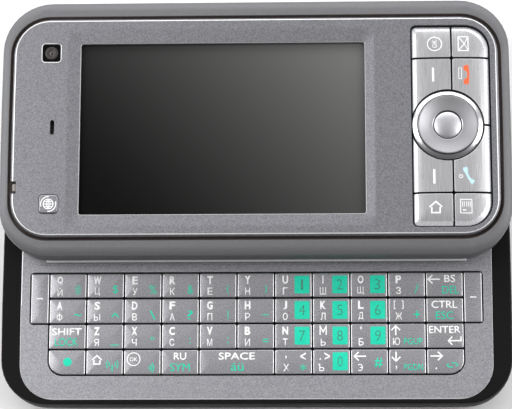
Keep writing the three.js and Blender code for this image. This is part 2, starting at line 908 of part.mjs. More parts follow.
// The T section of a guide runner: a stem that passes the slide plate's slot, and its head.
function runnerOutline() {
  const stem = runnerStemWidth / 2;
  const head = runnerHeadWidth / 2;
  const half = [
    [stem, footTop - runnerFootThickness / 2],
    [stem, runnerHeadBottom],
    [head, runnerHeadBottom],
    [head, runnerHeadTop],
  ];
  const other = half.map(([x, z]) => [-x, z]).reverse();
  return [...half, ...other].map(([x, z]) => new THREE.Vector2(x, z));
}

// The feet of the two runners and the bar that joins them.
function footBoxes() {
  const y0 = runnerStart - runnerBarWidth;
  const half = runnerFootWidth / 2;
  const feet = [-1, 1].map((side) => {
    const x = side * runnerX;
    return { x0: x - half, x1: x + half, y0, y1: runnerEnd };
  });
  return [...feet, { x0: -runnerX, x1: runnerX, y0, y1: runnerStart }];
}

function guideRails() {
  const runner = alongY(runnerOutline(), runnerStart, runnerEnd);
  return joined([
    ...footBoxes().map((box) => block(box, footBottom, footTop)),
    ...[-1, 1].map((side) => runner.translate([side * runnerX, 0, 0])),
  ]);
}

function footPockets() {
  return footBoxes().map((box) => block(grown(box, stackGap), footBottom - stackGap, deckTop + overrun));
}

function flexBox(from, to) {
  return { x0: -flexWidth / 2 - stackGap, x1: flexWidth / 2 + stackGap, y0: from, y1: to };
}

// The middle line of the flex in the YZ plane: up through the deck, along its pocket, round
// the rolling bend and back under the slide plate, then up into the display half.
function flexRoute() {
  const radius = (flexUpperZ - flexLowerZ) / 2;
  const middle = (flexUpperZ + flexLowerZ) / 2;
  const route = [[flexStart, keyBoardTop + stackGap], [flexStart, flexLowerZ]];
  for (let i = 0; i <= edgeSteps; i++) {
    const angle = (i / edgeSteps - 1 / 2) * Math.PI;
    route.push([flexBendY + radius * Math.cos(angle), middle + radius * Math.sin(angle)]);
  }
  route.push([flexEnd, flexUpperZ], [flexEnd, displayBoardBottom - stackGap]);
  return route.map(([y, z]) => new THREE.Vector2(y, z));
}

// Offsets a route to one side by half the film's thickness, with mitred corners.
function offsetRoute(route, by) {
  return route.map((point, i) => {
    const before = route[Math.max(i - 1, 0)];
    const after = route[Math.min(i + 1, route.length - 1)];
    const into = (i ? point.clone().sub(before) : after.clone().sub(point)).normalize();
    const out = (i < route.length - 1 ? after.clone().sub(point) : into.clone()).normalize();
    const normal = new THREE.Vector2(-into.y - out.y, into.x + out.x).normalize();
    const mitre = by / Math.max(normal.dot(new THREE.Vector2(-into.y, into.x)), 1 / 2);
    return point.clone().addScaledVector(normal, mitre);
  });
}

function flexCable() {
  const route = flexRoute();
  const right = offsetRoute(route, -flexThickness / 2);
  const left = offsetRoute(route, flexThickness / 2);
  return alongX([...right, ...left.reverse()], -flexWidth / 2, flexWidth / 2);
}

function deckPockets() {
  const floor = deckTop - pocketDepth;
  const flexPocket = flexBox(flexStart, flexBendY + flexBendMargin);
  const flexSlot = flexBox(flexStart - flexSlotDepth / 2, flexStart + flexSlotDepth / 2);
  return [
    block(flexPocket, floor, deckTop + overrun),
    block(flexSlot, deckBottom - overrun, deckTop + overrun),
  ];
}

function keyboardDeck() {
  const plate = prism(bodyOutline(deckHalfX, deckHalfY, deckRadius), deckBottom, deckTop);
  const ridgeY = gridTop + ridgeOffset;
  const ridge = boxAt(0, ridgeY, 2 * (deckHalfX - ridgeEndMargin), ridgeWidth);
  const raised = prism(outline(ridge, ridgeWidth / 2, 2), deckTop - fitGap, deckTop + ridgeHeight);
  return cut(plate.add(raised), [keyOpening(), ...footPockets(), ...deckPockets()]);
}

// Rings of the display half's outer wall, from the slide up to the groove.
function frameRing(insetX, insetY, radius, z) {
  return { points: bodyOutline(halfLength - insetX, halfDepth - insetY, radius), z };
}

function frameBlank() {
  const rings = [];
  for (const { inset, rise } of quarterShares()) {
    const wall = frameDraft + inset * frameFootWidth;
    rings.push(frameRing(wall, wall, frameRadius - wall, slidePlateBottom + rise * frameFootHeight));
  }
  const crownRadius = plateRadius + grooveWidth + grooveLand;
  for (let i = 0; i <= edgeSteps; i++) {
    const angle = (i / edgeSteps) * (Math.PI / 2);
    const share = 1 - Math.cos(angle);
    rings.push(frameRing(
      share * (frameRimEnd - grooveLand),
      share * (frameRimLong - grooveLand),
      frameRadius - share * (frameRadius - crownRadius),
      frameWaist + frameCrownHeight * Math.sin(angle),
    ));
  }
  return loft(rings);
}

function slideFrame() {
  const wall = frameWall;
  const cavity = bodyOutline(halfLength - wall, halfDepth - wall, frameRadius - wall);
  const mouthHalfX = plateHalfX + grooveWidth;
  const mouthHalfY = plateHalfY + grooveWidth;
  const mouthRadius = plateRadius + grooveWidth;
  const mouth = bodyOutline(mouthHalfX, mouthHalfY, mouthRadius);
  const ledge = frameLedgeWidth;
  const throat = bodyOutline(mouthHalfX - ledge, mouthHalfY - ledge, mouthRadius - ledge);
  const ledgeBottom = frameLedgeTop - frameLedgeThickness;
  return cut(frameBlank(), [
    prism(cavity, slidePlateBottom - overrun, ledgeBottom),
    prism(throat, ledgeBottom - overrun, frameLedgeTop + stackGap),
    prism(mouth, frameLedgeTop, plateTop + overrun),
  ]);
}

function plateBlank() {
  const side = plateTop - plateBevelHeight;
  const inner = plateRadius - plateBevelWidth;
  return loft([
    { points: bodyOutline(plateHalfX, plateHalfY, plateRadius), z: plateBottom },
    { points: bodyOutline(plateHalfX, plateHalfY, plateRadius), z: side },
    { points: bodyOutline(plateHalfX - plateBevelWidth, plateHalfY - plateBevelWidth, inner), z: plateTop },
  ]);
}

// The shallow dish round the display: a soft S-shaped slope from the plate down to the window.
function dishCutter() {
  const slopeShares = [[1, 1], [0.75, 0.9], [0.5, 0.5], [0.25, 0.1], [0, 0]];
  const rings = slopeShares.map(([across, down]) => ({
    points: outline({
      x0: windowBox.x0 - (1 - across) * dishLeft,
      x1: windowBox.x1 + (1 - across) * dishRight,
      y0: windowBox.y0 - (1 - across) * dishBottom,
      y1: windowBox.y1 + (1 - across) * dishTop,
    }, windowRadius + (1 - across) * (dishRadius - windowRadius), 3),
    z: plateTop - down * dishDepth,
  }));
  const top = rings[rings.length - 1];
  return loft([...rings, { points: top.points, z: plateTop + overrun }]);
}

function clusterOutline(grow) {
  const box = grown({ x0: clusterLeft, x1: clusterRight, y0: clusterBottom, y1: clusterTop }, grow);
  const inner = clusterInnerRadius + grow;
  const outer = clusterOuterRadius + grow;
  return outline(box, [inner, outer, outer, inner]);
}

function facePlate() {
  const through = (points) => prism(points, plateBottom - overrun, plateTop + overrun);
  const lightNotch = grown({ ...lightBox, x0: -plateHalfX - overrun }, fitGap);
  return cut(plateBlank(), [
    dishCutter(),
    through(outline(windowBox, windowRadius, 3)),
    through(clusterOutline(0)),
    through(outline(frontCameraBox, frontCameraRadius, 2)),
    through(outline(earSlotBox, earSlotWidth / 2, 3)),
    through(outline(webKeyBox, webKeyRadius, 3)),
    through(outline(lightNotch, fitGap, 1)),
  ]);
}

function displayWindow() {
  return prism(outline(grown(windowBox, windowLap), windowLap, 3), windowBottom, windowTop);
}

function displayModule() {
  const box = grown(windowBox, moduleMargin);
  const top = moduleBottom + moduleThickness;
  const tray = prism(outline(box, moduleLip, 2), moduleBottom, top);
  return tray.subtract(block(grown(box, -moduleLip), top - modulePocket, top + overrun));
}

function frontCamera() {
  const middleX = (frontCameraBox.x0 + frontCameraBox.x1) / 2;
  const middleY = (frontCameraBox.y0 + frontCameraBox.y1) / 2;
  const body = block(boxAt(middleX, middleY, frontCameraBody, frontCameraBody), moduleBottom, windowTop);
  const top = plateTop - frontCameraRecess;
  const window = grown(frontCameraBox, -fitGap);
  const neck = prism(outline(window, frontCameraRadius - fitGap, 2), windowTop - fitGap, top);
  const sunk = top - frontLensDepth;
  const lens = lathed([
    [0, sunk],
    [frontLensRadius * frontLensFloorShare, sunk],
    [frontLensRadius, top + frontCameraRecess],
    [0, top + frontCameraRecess],
  ], middleX, middleY, 2 * screwSides);
  return body.add(neck).subtract(lens);
}

function earpiece() {
  const middleX = (earSlotBox.x0 + earSlotBox.x1) / 2;
  const body = boxAt(middleX, navY, earpieceWidth, earpieceLength);
  return prism(outline(body, earpieceWidth / 3, 3), moduleBottom, windowTop);
}

function statusLight() {
  const bevel = { width: fitGap, height: fitGap };
  const head = bevelledBlock(lightBox, fitGap * 2, plateBottom, plateTop - lightRecess, bevel, 2);
  const stem = block({ ...lightBox, x0: lightBox.x1 - lightStem }, moduleBottom, plateBottom + fitGap);
  return head.add(stem);
}

function webKey() {
  const bevel = { width: fitGap * 2, height: fitGap };
  const box = grown(webKeyBox, -fitGap);
  const top = plateTop + webKeyStand;
  return bevelledBlock(box, webKeyRadius - fitGap, frontKeyBottom, top, bevel, 3);
}

function displayBoard() {
  const inset = frameWall + displayBoardMargin;
  const points = bodyOutline(halfLength - inset, halfDepth - inset, frameRadius - inset);
  return prism(points, displayBoardBottom, displayBoardTop);
}

// The mat has a pad under the key cluster and one under the web key, joined by a tail that
// runs round the lower edge of the display.
function keypadMat() {
  const tailTop = windowBox.y0 - moduleMargin - matTailGap;
  const tailX = (webKeyBox.x0 + webKeyBox.x1) / 2;
  const half = matTailWidth / 2;
  const clusterLegX = clusterLeft + clusterInnerRadius + matTailWidth;
  const tailLevel = moduleBottom + matTailThickness;
  const strips = [
    { x0: tailX - half, x1: clusterLegX, y0: tailTop - matTailWidth, y1: tailTop },
    { x0: tailX - half, x1: tailX + half, y0: tailTop - half, y1: webKeyBox.y1 - half },
    { x0: clusterLegX - matTailWidth, x1: clusterLegX, y0: tailTop - half, y1: navY },
  ];
  return joined([
    prism(clusterOutline(-frontKeyGap), moduleBottom, keypadMatTop),
    block(grown(webKeyBox, -fitGap), moduleBottom, keypadMatTop),
    ...strips.map((box) => block(box, moduleBottom, tailLevel)),
  ]);
}

function slideBackCover() {
  const points = bodyOutline(slidePlateHalfX, slidePlateHalfY, frameRadius - frameWall - stackGap);
  const opening = flexBox(flexOpening - flexSlotDepth / 2, flexOpening + flexSlotDepth / 2);
  const top = backCoverBottom + backCoverThickness;
  const cover = prism(points, backCoverBottom, top);
  return cover.subtract(block(opening, backCoverBottom - overrun, top + overrun));
}

function slidePlate() {
  const points = bodyOutline(slidePlateHalfX, slidePlateHalfY, frameRadius - frameWall - stackGap);
  const slotWidth = runnerStemWidth + 2 * stackGap;
  const bottom = slidePlateBottom - overrun;
  const top = slidePlateTop + overrun;
  const slots = [-1, 1].map((side) => {
    const box = boxAt(side * runnerX, 0, slotWidth, 2 * slotHalfLength);
    return prism(outline(box, stackGap, 1), bottom, top);
  });
  const opening = flexBox(flexOpening - flexSlotDepth / 2, flexOpening + flexSlotDepth / 2);
  return cut(prism(points, slidePlateBottom, slidePlateTop), [...slots, block(opening, bottom, top)]);
}

function frontKeyBox(row, column) {
  const split = clusterLeft + clusterLeftKeyWidth;
  const rows = [clusterTop, clusterTop - outerKeyDepth, navY, clusterBottom + outerKeyDepth, clusterBottom];
  const half = frontKeyGap / 2;
  return {
    x0: column ? split + half : clusterLeft + frontKeyGap,
    x1: column ? clusterRight - frontKeyGap : split - half,
    y0: rows[row + 1] + (row === 3 ? frontKeyGap : half),
    y1: rows[row] - (row === 0 ? frontKeyGap : half),
  };
}

// A key of the cluster. The ring's hole is cut out of it, with the same bevel as its sides.
function frontKey(row, column) {
  const corner = row === 0 || row === 3 ? clusterOuterRadius - frontKeyGap : innerKeyRadius;
  const inner = row === 0 || row === 3 ? clusterInnerRadius - frontKeyGap : innerKeyRadius;
  const small = innerKeyRadius;
  const radii = [small, small, small, small];
  radii[(row < 2 ? [3, 2] : [0, 1])[column]] = column ? corner : inner;
  const bevel = { width: frontKeyBevelWidth, height: frontKeyBevelHeight };
  const cap = bevelledBlock(frontKeyBox(row, column), radii, frontKeyBottom, plateTop, bevel, 4);
  if (row === 0 || row === 3) {
    return cap;
  }
  const hole = navRadius + frontKeyGap;
  return cap.subtract(lathed([
    [0, frontKeyBottom - overrun],
    [hole, frontKeyBottom - overrun],
    [hole, plateTop - frontKeyBevelHeight],
    [hole + frontKeyBevelWidth, plateTop],
    [hole + frontKeyBevelWidth, plateTop + overrun],
    [0, plateTop + overrun],
  ], navX, navY, navSides));
}

function navWeb() {
  return lathed([
    [navHoleRadius, navWebBottom],
    [webRadius, navWebBottom],
    [webRadius, navWebBottom + webThickness],
    [navHoleRadius, navWebBottom + webThickness],
    [navHoleRadius, navWebBottom],
  ], navX, navY, navSides / 2);
}

function navRing() {
  const disc = plateTop + navDiscStand;
  const rim = plateTop + navRimStand;
  const rimInner = navRadius - navRimWidth;
  const third = navRimWidth / 3;
  return lathed([
    [navHoleRadius, navRingBottom],
    [navRadius, navRingBottom],
    [navRadius, plateTop],
    [navRadius - third / 2, rim - third / 2],
    [navRadius - third, rim],
    [rimInner + third, rim],
    [rimInner, disc],
    [navHoleRadius, disc],
    [navHoleRadius, navRingBottom],
  ], navX, navY, navSides);
}

function selectKey() {
  const top = plateTop + selectStand;
  return lathed([
    [0, frontKeyBottom],
    [selectRadius, frontKeyBottom],
    [selectRadius, top - selectBevel / 2],
    [selectRadius - selectBevel, top],
    [0, top],
  ], navX, navY, navSides - 2 * edgeSteps);
}

const phone = new THREE.Group();
const keyboardHalf = new THREE.Group();
const displayHalf = new THREE.Group();
displayHalf.position.y = slideTravel;
phone.add(keyboardHalf, displayHalf);

function addPiece(half, name, solid, finish) {
  const mesh = new THREE.Mesh(geometryOf(solid), new THREE.MeshStandardMaterial(finish));
  mesh.name = name;
  half.add(mesh);
}

addPiece(keyboardHalf, 'back_shell', backShell(), finishes.blackPlastic);
addPiece(keyboardHalf, 'battery_cover', batteryCover(), finishes.blackPlastic);
for (const name of Object.keys(screwPlaces)) {
  addPiece(keyboardHalf, name, housingScrew(name), finishes.steel);
}
addPiece(keyboardHalf, 'rear_camera', rearCamera(), finishes.glass);
addPiece(keyboardHalf, 'loudspeaker', loudspeaker(), finishes.blackPlastic);
addPiece(keyboardHalf, 'usb_socket', usbSocket(), finishes.steel);
addPiece(keyboardHalf, 'battery', battery(), finishes.wrap);
addPiece(keyboardHalf, 'main_board', mainBoard(), finishes.board);
addPiece(keyboardHalf, 'keyboard_board', keyboardBoard(), finishes.board);
addPiece(keyboardHalf, 'key_mat', keyMat(), finishes.silicone);
addPiece(keyboardHalf, 'keyboard_deck', keyboardDeck(), finishes.deckPaint);
addPiece(keyboardHalf, 'guide_rails', guideRails(), finishes.runner);
addPiece(keyboardHalf, 'flex_cable', flexCable(), finishes.flexFilm);
for (const name of Object.keys(sideKeys)) {
  addPiece(keyboardHalf, name, sideKey(name), finishes.keySilver);
}

// The letter keys of a row share a carrier; each other key stands alone.
upperRows.forEach(({ left, letters, right }, row) => {
  const firstRight = keyColumns - right.length;
  addPiece(keyboardHalf, letters, rowKeys(row, left.length, firstRight - 1), finishes.keyGrey);
  left.forEach((name, i) => {
    addPiece(keyboardHalf, name, keyCap(keyBox(row, i)), finishes.keyGrey);
  });
  right.forEach((name, i) => {
    addPiece(keyboardHalf, name, keyCap(keyBox(row, firstRight + i)), finishes.keyGrey);
  });
});
for (const name of new Set(bottomRow)) {
  addPiece(keyboardHalf, name, bottomKey(name), finishes.keyGrey);
}
addPiece(keyboardHalf, 'left_soft_key', keyCap(tallKeyBox(-1), keyCornerRadius, 2), finishes.keyGrey);
addPiece(keyboardHalf, 'right_soft_key', keyCap(tallKeyBox(1), keyCornerRadius, 2), finishes.keyGrey);

addPiece(displayHalf, 'slide_plate', slidePlate(), finishes.steel);
addPiece(displayHalf, 'slide_back_cover', slideBackCover(), finishes.blackPlastic);
addPiece(displayHalf, 'slide_frame', slideFrame(), finishes.greyPaint);
addPiece(displayHalf, 'face_plate', facePlate(), finishes.greyPaint);
addPiece(displayHalf, 'display_window', displayWindow(), finishes.glass);
addPiece(displayHalf, 'display_module', displayModule(), finishes.blackPlastic);
addPiece(displayHalf, 'display_board', displayBoard(), finishes.board);
addPiece(displayHalf, 'keypad_mat', keypadMat(), finishes.silicone);
addPiece(displayHalf, 'front_camera', frontCamera(), finishes.glass);
addPiece(displayHalf, 'earpiece', earpiece(), finishes.blackPlastic);
addPiece(displayHalf, 'status_light', statusLight(), finishes.lightPipe);
addPiece(displayHalf, 'web_key', webKey(), finishes.keySilver);
frontKeys.forEach((names, row) => names.forEach((name, column) => {
  addPiece(displayHalf, name, frontKey(row, column), finishes.keySilver);
}));
addPiece(displayHalf, 'nav_web', navWeb(), finishes.silicone);
addPiece(displayHalf, 'nav_ring', navRing(), finishes.chrome);
addPiece(displayHalf, 'select_key', selectKey(), finishes.keySilver);

export default phone;
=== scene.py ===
import json
import math

import bmesh
import bpy
from bpy.props import FloatProperty, FloatVectorProperty, IntProperty, PointerProperty
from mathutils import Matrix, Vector

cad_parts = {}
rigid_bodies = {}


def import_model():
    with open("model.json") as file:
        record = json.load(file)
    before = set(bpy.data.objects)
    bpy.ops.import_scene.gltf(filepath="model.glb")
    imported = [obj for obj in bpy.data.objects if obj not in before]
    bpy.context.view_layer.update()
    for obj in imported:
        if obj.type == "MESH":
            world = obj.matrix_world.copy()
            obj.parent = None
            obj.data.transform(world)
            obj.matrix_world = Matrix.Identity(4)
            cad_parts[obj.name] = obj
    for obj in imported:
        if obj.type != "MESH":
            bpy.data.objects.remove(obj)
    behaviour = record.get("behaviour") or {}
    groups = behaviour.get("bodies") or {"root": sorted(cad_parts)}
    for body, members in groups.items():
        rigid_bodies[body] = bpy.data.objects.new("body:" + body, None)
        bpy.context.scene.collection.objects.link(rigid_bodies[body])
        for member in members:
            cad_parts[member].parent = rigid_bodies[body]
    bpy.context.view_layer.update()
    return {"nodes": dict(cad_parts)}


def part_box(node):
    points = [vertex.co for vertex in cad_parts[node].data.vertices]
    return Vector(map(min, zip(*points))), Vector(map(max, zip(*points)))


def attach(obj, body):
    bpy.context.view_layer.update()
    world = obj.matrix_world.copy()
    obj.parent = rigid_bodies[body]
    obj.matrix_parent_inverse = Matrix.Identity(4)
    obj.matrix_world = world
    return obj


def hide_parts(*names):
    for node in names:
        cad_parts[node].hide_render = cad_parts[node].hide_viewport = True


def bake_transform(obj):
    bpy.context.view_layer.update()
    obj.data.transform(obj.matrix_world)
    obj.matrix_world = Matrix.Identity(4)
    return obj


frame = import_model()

bl_info = {
    "name": "Landscape slider phone",
    "version": (1, 0, 0),
    "blender": (4, 5, 0),
    "location": "3D View > Sidebar > Phone",
    "description": "Models and dresses a landscape slider phone around its packed solids",
    "category": "Object",
}

MM = 0.001
TOUCH = 1e-6  # What counts as the same place on a solid
MEETS = 1e-7  # What counts as the same point of a drawn line
PLATE_CORNER = 8.65 * MM
DECK_CORNER = 7.9 * MM
DISH_LEVEL = 0.45 * MM  # How deep the display's dish lies in the plate
OPENING_REACH = 1.9 * MM  # How far an opening's edge may lie from the box of what fills it
# Those sides are painted black as shade, so that the gaps between keys look dark.
SIDE = 0.3  # Faces whose normal rises less than this are a key's black sides
HOVER = 0.3 * MM  # How far above a key its glyphs are laid out before they drop onto it
FINISHES = {}

# The keyboard's letters, one entry a cap: large letter, small letter, symbol or digit.
LETTER_ROWS = {
    "q_row_keys": ["QЙ@", "WЦ$", "EУ%", "RК&", "TЕ(", "YН)", "UГ1", "IШ2", "OЩ3", "PЗ/"],
    "a_row_keys": ["AФ~", "SЫ^", "DВ\\", "FА?", "GП|", "HР-", "JО4", "KЛ5", "LД6", "[Ж+"],
    "z_row_keys": ["ZЯ_", "XЧ\"", "CС:", "VМ;", "BИ=", "NТ7", "MЬ8", "'Б9"],
}

# Words on the keys that stand alone: text, ink, place from the key's centre, height, width (mm).
WORD_KEYS = {
    "backspace_key": [("BS", "white", 1.25, 1.4, 1.75, 2.6),
                      ("DEL", "mint", 1.4, -1.25, 1.8, 3.9)],
    "ctrl_key": [("CTRL", "white", -0.1, 1.3, 1.8, 6.0), ("ESC", "mint", -0.1, -1.25, 1.8, 4.0)],
    "shift_key": [("SHIFT", "white", -0.1, 1.15, 1.7, 6.9), ("LOCK", "mint", -0.2, -1.25, 1.9, 5.4)],
    "up_arrow_key": [("Ю", "fine", -2.5, -1.3, 1.7, 1.6),
                     ("PGUP", "mint", 1.35, -1.3, 1.5, 4.3)],
    "enter_key": [("ENTER", "white", -0.1, 1.4, 1.7, 7.3)],
    "symbol_key": [("RU", "white", 0, 1.35, 1.7, 2.9), ("SYM", "mint", 0, -1.2, 1.8, 4.6)],
    "space_bar": [("SPACE", "white", 0, 1.35, 1.7, 8.4), ("áü", "mint", 0.1, -1.15, 1.9, 3.0)],
    "comma_key": [(",", "white", -1.75, 1.0, 0.8, 0.35), ("<", "white", 2.2, 1.25, 1.8, 1.3),
                  ("Х", "fine", -1.7, -1.35, 1.7, 1.35), ("*", "mint", 2.2, -1.3, 1.5, 1.5)],
    "period_key": [(".", "white", -2.6, 0.6, 0.4, 0.4), (">", "white", -1.0, 1.25, 1.8, 1.3),
                   ("Ъ", "fine", -2.4, -1.35, 1.7, 1.5), ("0", "digit", 2.0, 0.1, 2.35, 1.2)],
    "left_arrow_key": [("Э", "fine", -2.15, -1.35, 1.7, 1.2),
                       ("#", "mint", 2.05, -0.3, 2.5, 1.9)],
    "down_arrow_key": [(",", "fine", -2.6, -1.4, 0.9, 0.35),
                       ("PGDN", "mint", 1.35, -1.3, 1.5, 4.3)],
    "right_arrow_key": [(".", "fine", -2.2, -1.6, 0.4, 0.4)],
}

FRONT_KEYS = ["ok_key", "mail_key", "soft_key_upper", "end_key", "soft_key_lower", "call_key",
              "start_key", "contacts_key"]
LONE_KEYS = ["backspace_key", "ctrl_key", "shift_key", "up_arrow_key", "enter_key", "function_key",
             "home_key", "keyboard_ok_key", "symbol_key", "space_bar", "comma_key", "period_key",
             "left_arrow_key", "down_arrow_key", "right_arrow_key", "left_soft_key",
             "right_soft_key"]


def srgb(text):
    """An sRGB hex colour turned to linear."""
    values = []
    for place in (1, 3, 5):
        share = int(text[place:place + 2], 16) / 255
        values.append(share / 12.92 if share <= 0.04045 else ((share + 0.055) / 1.055) ** 2.4)
    return (*values, 1.0)


def length(name, description, default_mm):
    """A length property in metres whose default is written in millimetres."""
    return FloatProperty(name=name, description=description, default=default_mm * MM, min=0,
                         unit="LENGTH", subtype="DISTANCE", precision=5)


def colour(name, description, text):
    """A colour property whose default is written as a hex colour."""
    return FloatVectorProperty(name=name, description=description, size=4, subtype="COLOR",
                               default=srgb(text), min=0, max=1)


class PhoneSizes(bpy.types.PropertyGroup):
    """Sizes of the dressed phone that a user may change."""

    shell_edge: length("Shell edge", "Rounding of the moulded edges of the shells", 0.16)
    key_corner: length("Key corner", "Corner radius of a keyboard key", 0.25)
    key_edge: length("Key edge", "Width of the bright edge of a keyboard key", 0.16)
    key_crown: length("Key crown", "Height of the crown of a keyboard key", 0.18)
    front_key_edge: length("Front key edge", "Width of the sloped outer edge of a front key", 0.9)
    letter_height: length("Letter height", "Height of the large letters", 2.0)
    small_letter_height: length("Small letter height", "Height of the second letters", 1.7)
    symbol_height: length("Symbol height", "Height of the mint symbols", 1.9)
    ink_thickness: length("Ink thickness", "How far the printed ink stands off a key", 0.02)
    round_steps: IntProperty(name="Round steps", description="Steps of a large rounded corner",
                             default=16, min=4, max=32)


class PhoneColours(bpy.types.PropertyGroup):
    """Colours of the dressed phone that a user may change."""

    face_paint: colour("Face paint", "Metallic paint of the display half", "#86868b")
    frame_paint: colour("Frame paint", "Darker satin lacquer of the outer frame", "#6e6e71")
    deck_paint: colour("Deck paint", "Metallic paint of the keyboard deck", "#9f9fa4")
    # The edges that face the lamps get this near-white colour as a painted highlight.
    painted_highlight_edge: colour("Bright edge", "Polished edges that catch the light", "#f2f2f4")
    housing: colour("Housing", "Textured black plastic of the keyboard half", "#0e0c0d")
    front_keys: colour("Front keys", "Brushed silver of the front keys", "#d6d6d9")
    keyboard_keys: colour("Keyboard keys", "Grey paint of the keyboard keys", "#aaa9ae")
    white_ink: colour("White ink", "Large letters", "#ffffff")
    mint_ink: colour("Mint ink", "Symbols and digit fields", "#00d4b0")
    floor: colour("Floor", "Paper that the phone lies on", "#fafafa")


# Editing helpers

def deselect():
    """Leaves edit mode and deselects everything."""
    if bpy.context.object and bpy.context.object.mode != "OBJECT":
        bpy.ops.object.mode_set(mode="OBJECT")
    bpy.ops.object.select_all(action="DESELECT")


def work_on(piece):
    """Selects one piece alone and makes it active."""
    deselect()
    piece.hide_set(False)
    piece.select_set(True)
    bpy.context.view_layer.objects.active = piece


def edit(piece):
    work_on(piece)
    bpy.ops.object.mode_set(mode="EDIT")


def finish_edit():
    bpy.ops.object.mode_set(mode="OBJECT")


def pick(piece, test, kind="EDGE"):
    """In edit mode, selects exactly the edges, faces or vertices that pass the test."""
    bpy.ops.mesh.select_mode(type=kind)
    bpy.ops.mesh.select_all(action="DESELECT")
    mesh = bmesh.from_edit_mesh(piece.data)
    elements = {"EDGE": mesh.edges, "FACE": mesh.faces, "VERT": mesh.verts}[kind]
    found = 0
    for element in elements:
        if test(element):
            element.select_set(True)
            found += 1
    mesh.select_flush_mode()
    bmesh.update_edit_mesh(piece.data)
    return found


def settle(piece):
    """Puts the piece's place, turn and scale into its mesh."""
    work_on(piece)
    bpy.ops.object.transform_apply(location=True, rotation=True, scale=True)


def added(operator, **settings):
    """Runs an operator that adds an object, and gives that object."""
    deselect()
    operator(**settings)
    return bpy.context.object


def block(name, low, high):
    """A cube primitive brought to the box between two corners."""
    piece = added(bpy.ops.mesh.primitive_cube_add, size=1, location=(Vector(low) + Vector(high)) / 2)
    piece.name = name
    piece.scale = Vector(high) - Vector(low)
    settle(piece)
    return piece


def at_level(edge, level):
    return all(abs(vertex.co.z - level) < TOUCH for vertex in edge.verts)


def span(piece):
    """The lowest and the highest corner of a piece's mesh."""
    places = [vertex.co for vertex in piece.data.vertices]
    return [Vector([end(place[i] for place in places) for i in range(3)]) for end in (min, max)]


def round_corners(piece, radii, steps):
    """Bevels the upright corner edges of a block: lower left, lower right, upper right, upper left."""
    low, high = span(piece)
    corners = [(low.x, low.y), (high.x, low.y), (high.x, high.y), (low.x, high.y)]
    for (x, y), radius in zip(corners, radii):
        bevel(piece, lambda edge: all(abs(v.co.x - x) < TOUCH and abs(v.co.y - y) < TOUCH
                                      for v in edge.verts), radius, steps)


def crown(piece, steps):
    """Draws the top face up in steps, each a rise and how far the face then shrinks on every side."""
    low, high = span(piece)
    middle = ((low.x + high.x) / 2, (low.y + high.y) / 2, high.z)
    width, depth = high.x - low.x, high.y - low.y
    edit(piece)
    pick(piece, lambda face: all(abs(v.co.z - high.z) < TOUCH for v in face.verts), "FACE")
    for inset, rise in steps:
        bpy.ops.mesh.extrude_region_move(TRANSFORM_OT_translate={"value": (0, 0, rise)})
        shrink = ((width - 2 * inset) / width, (depth - 2 * inset) / depth, 1)
        bpy.ops.transform.resize(value=shrink, center_override=middle)
        width, depth = width - 2 * inset, depth - 2 * inset
    finish_edit()


def bevel(piece, test, width, steps, **settings):
    """Bevels the edges that pass the test."""
    edit(piece)
    pick(piece, test)
    bpy.ops.mesh.bevel(offset=width, segments=steps, affect="EDGES", **settings)
    finish_edit()


def shift(piece, test, move):
    """Moves the vertices that pass the test."""
    edit(piece)
    pick(piece, test, "VERT")
    bpy.ops.transform.translate(value=move)
    finish_edit()


def drop_faces(piece, test):
    """Deletes the faces that pass the test."""
    edit(piece)
    pick(piece, test, "FACE")
    bpy.ops.mesh.delete(type="FACE")
    finish_edit()


def apply_modifier(piece, kind, **settings):
    work_on(piece)
    modifier = piece.modifiers.new(kind.title(), kind)
    for key, value in settings.items():
        setattr(modifier, key, value)
    bpy.ops.object.modifier_apply(modifier=modifier.name)


def smooth(piece, degrees=35):
    work_on(piece)
    bpy.ops.object.shade_smooth_by_angle(angle=math.radians(degrees), keep_sharp_edges=False)


def tidy_mesh(piece):
    """Merges doubles and makes all faces point outwards."""
    edit(piece)
    bpy.ops.mesh.select_all(action="SELECT")
    bpy.ops.mesh.remove_doubles(threshold=TOUCH)
    bpy.ops.mesh.normals_make_consistent(inside=False)
    finish_edit()


def join(pieces, name):
    work_on(pieces[0])
    for piece in pieces:
        piece.select_set(True)
    if len(pieces) > 1:
        bpy.ops.object.join()
    joined = bpy.context.object
    joined.name = name
    return joined


def copy_of(piece, name, move=(0, 0, 0)):
    """A copy with its own mesh, moved in its mesh."""
    work_on(piece)
    bpy.ops.object.duplicate(linked=False)
    copied = bpy.context.object
    copied.name = name
    copied.location = move
    settle(copied)
    return copied


def cut_with(piece, cutter, operation="DIFFERENCE"):
    apply_modifier(piece, "BOOLEAN", operation=operation, object=cutter, solver="EXACT")
    deselect()
    bpy.data.objects.remove(cutter)


def plain_copy(node, name):
    """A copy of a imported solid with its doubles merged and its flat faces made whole."""
    work_on(frame["nodes"][node])
    bpy.ops.object.duplicate(linked=False)
    piece = bpy.context.object
    piece.name = name
    for key in list(piece.keys()):
        del piece[key]
    piece.parent = None
    piece.data.materials.clear()
    edit(piece)
    bpy.ops.mesh.select_all(action="SELECT")
    bpy.ops.mesh.remove_doubles(threshold=TOUCH)
    bpy.ops.mesh.dissolve_limited(angle_limit=math.radians(0.5))
    finish_edit()
    return piece


def middle_of(node):
    low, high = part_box(node)
    return (low + high) / 2


def outline_of(node, radius, grow=0.0):
    """Gives a measure of how far a place lies outside a solid's rounded outline, seen from above."""
    low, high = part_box(node)
    middle, half = (low + high) / 2, (high - low) / 2

    def outside(place):
        across = abs(place.x - middle.x) - (half.x + grow - radius)
        up = abs(place.y - middle.y) - (half.y + grow - radius)
        return math.hypot(max(across, 0), max(up, 0)) + min(max(across, up), 0) - radius

    return outside


def near_box(place, low, high, reach):
    """Whether a place lies on the outline of a box seen from above, or a little way off it."""
    across = max(low.x - place.x, place.x - high.x)
    up = max(low.y - place.y, place.y - high.y)
    return abs(max(across, up)) < reach


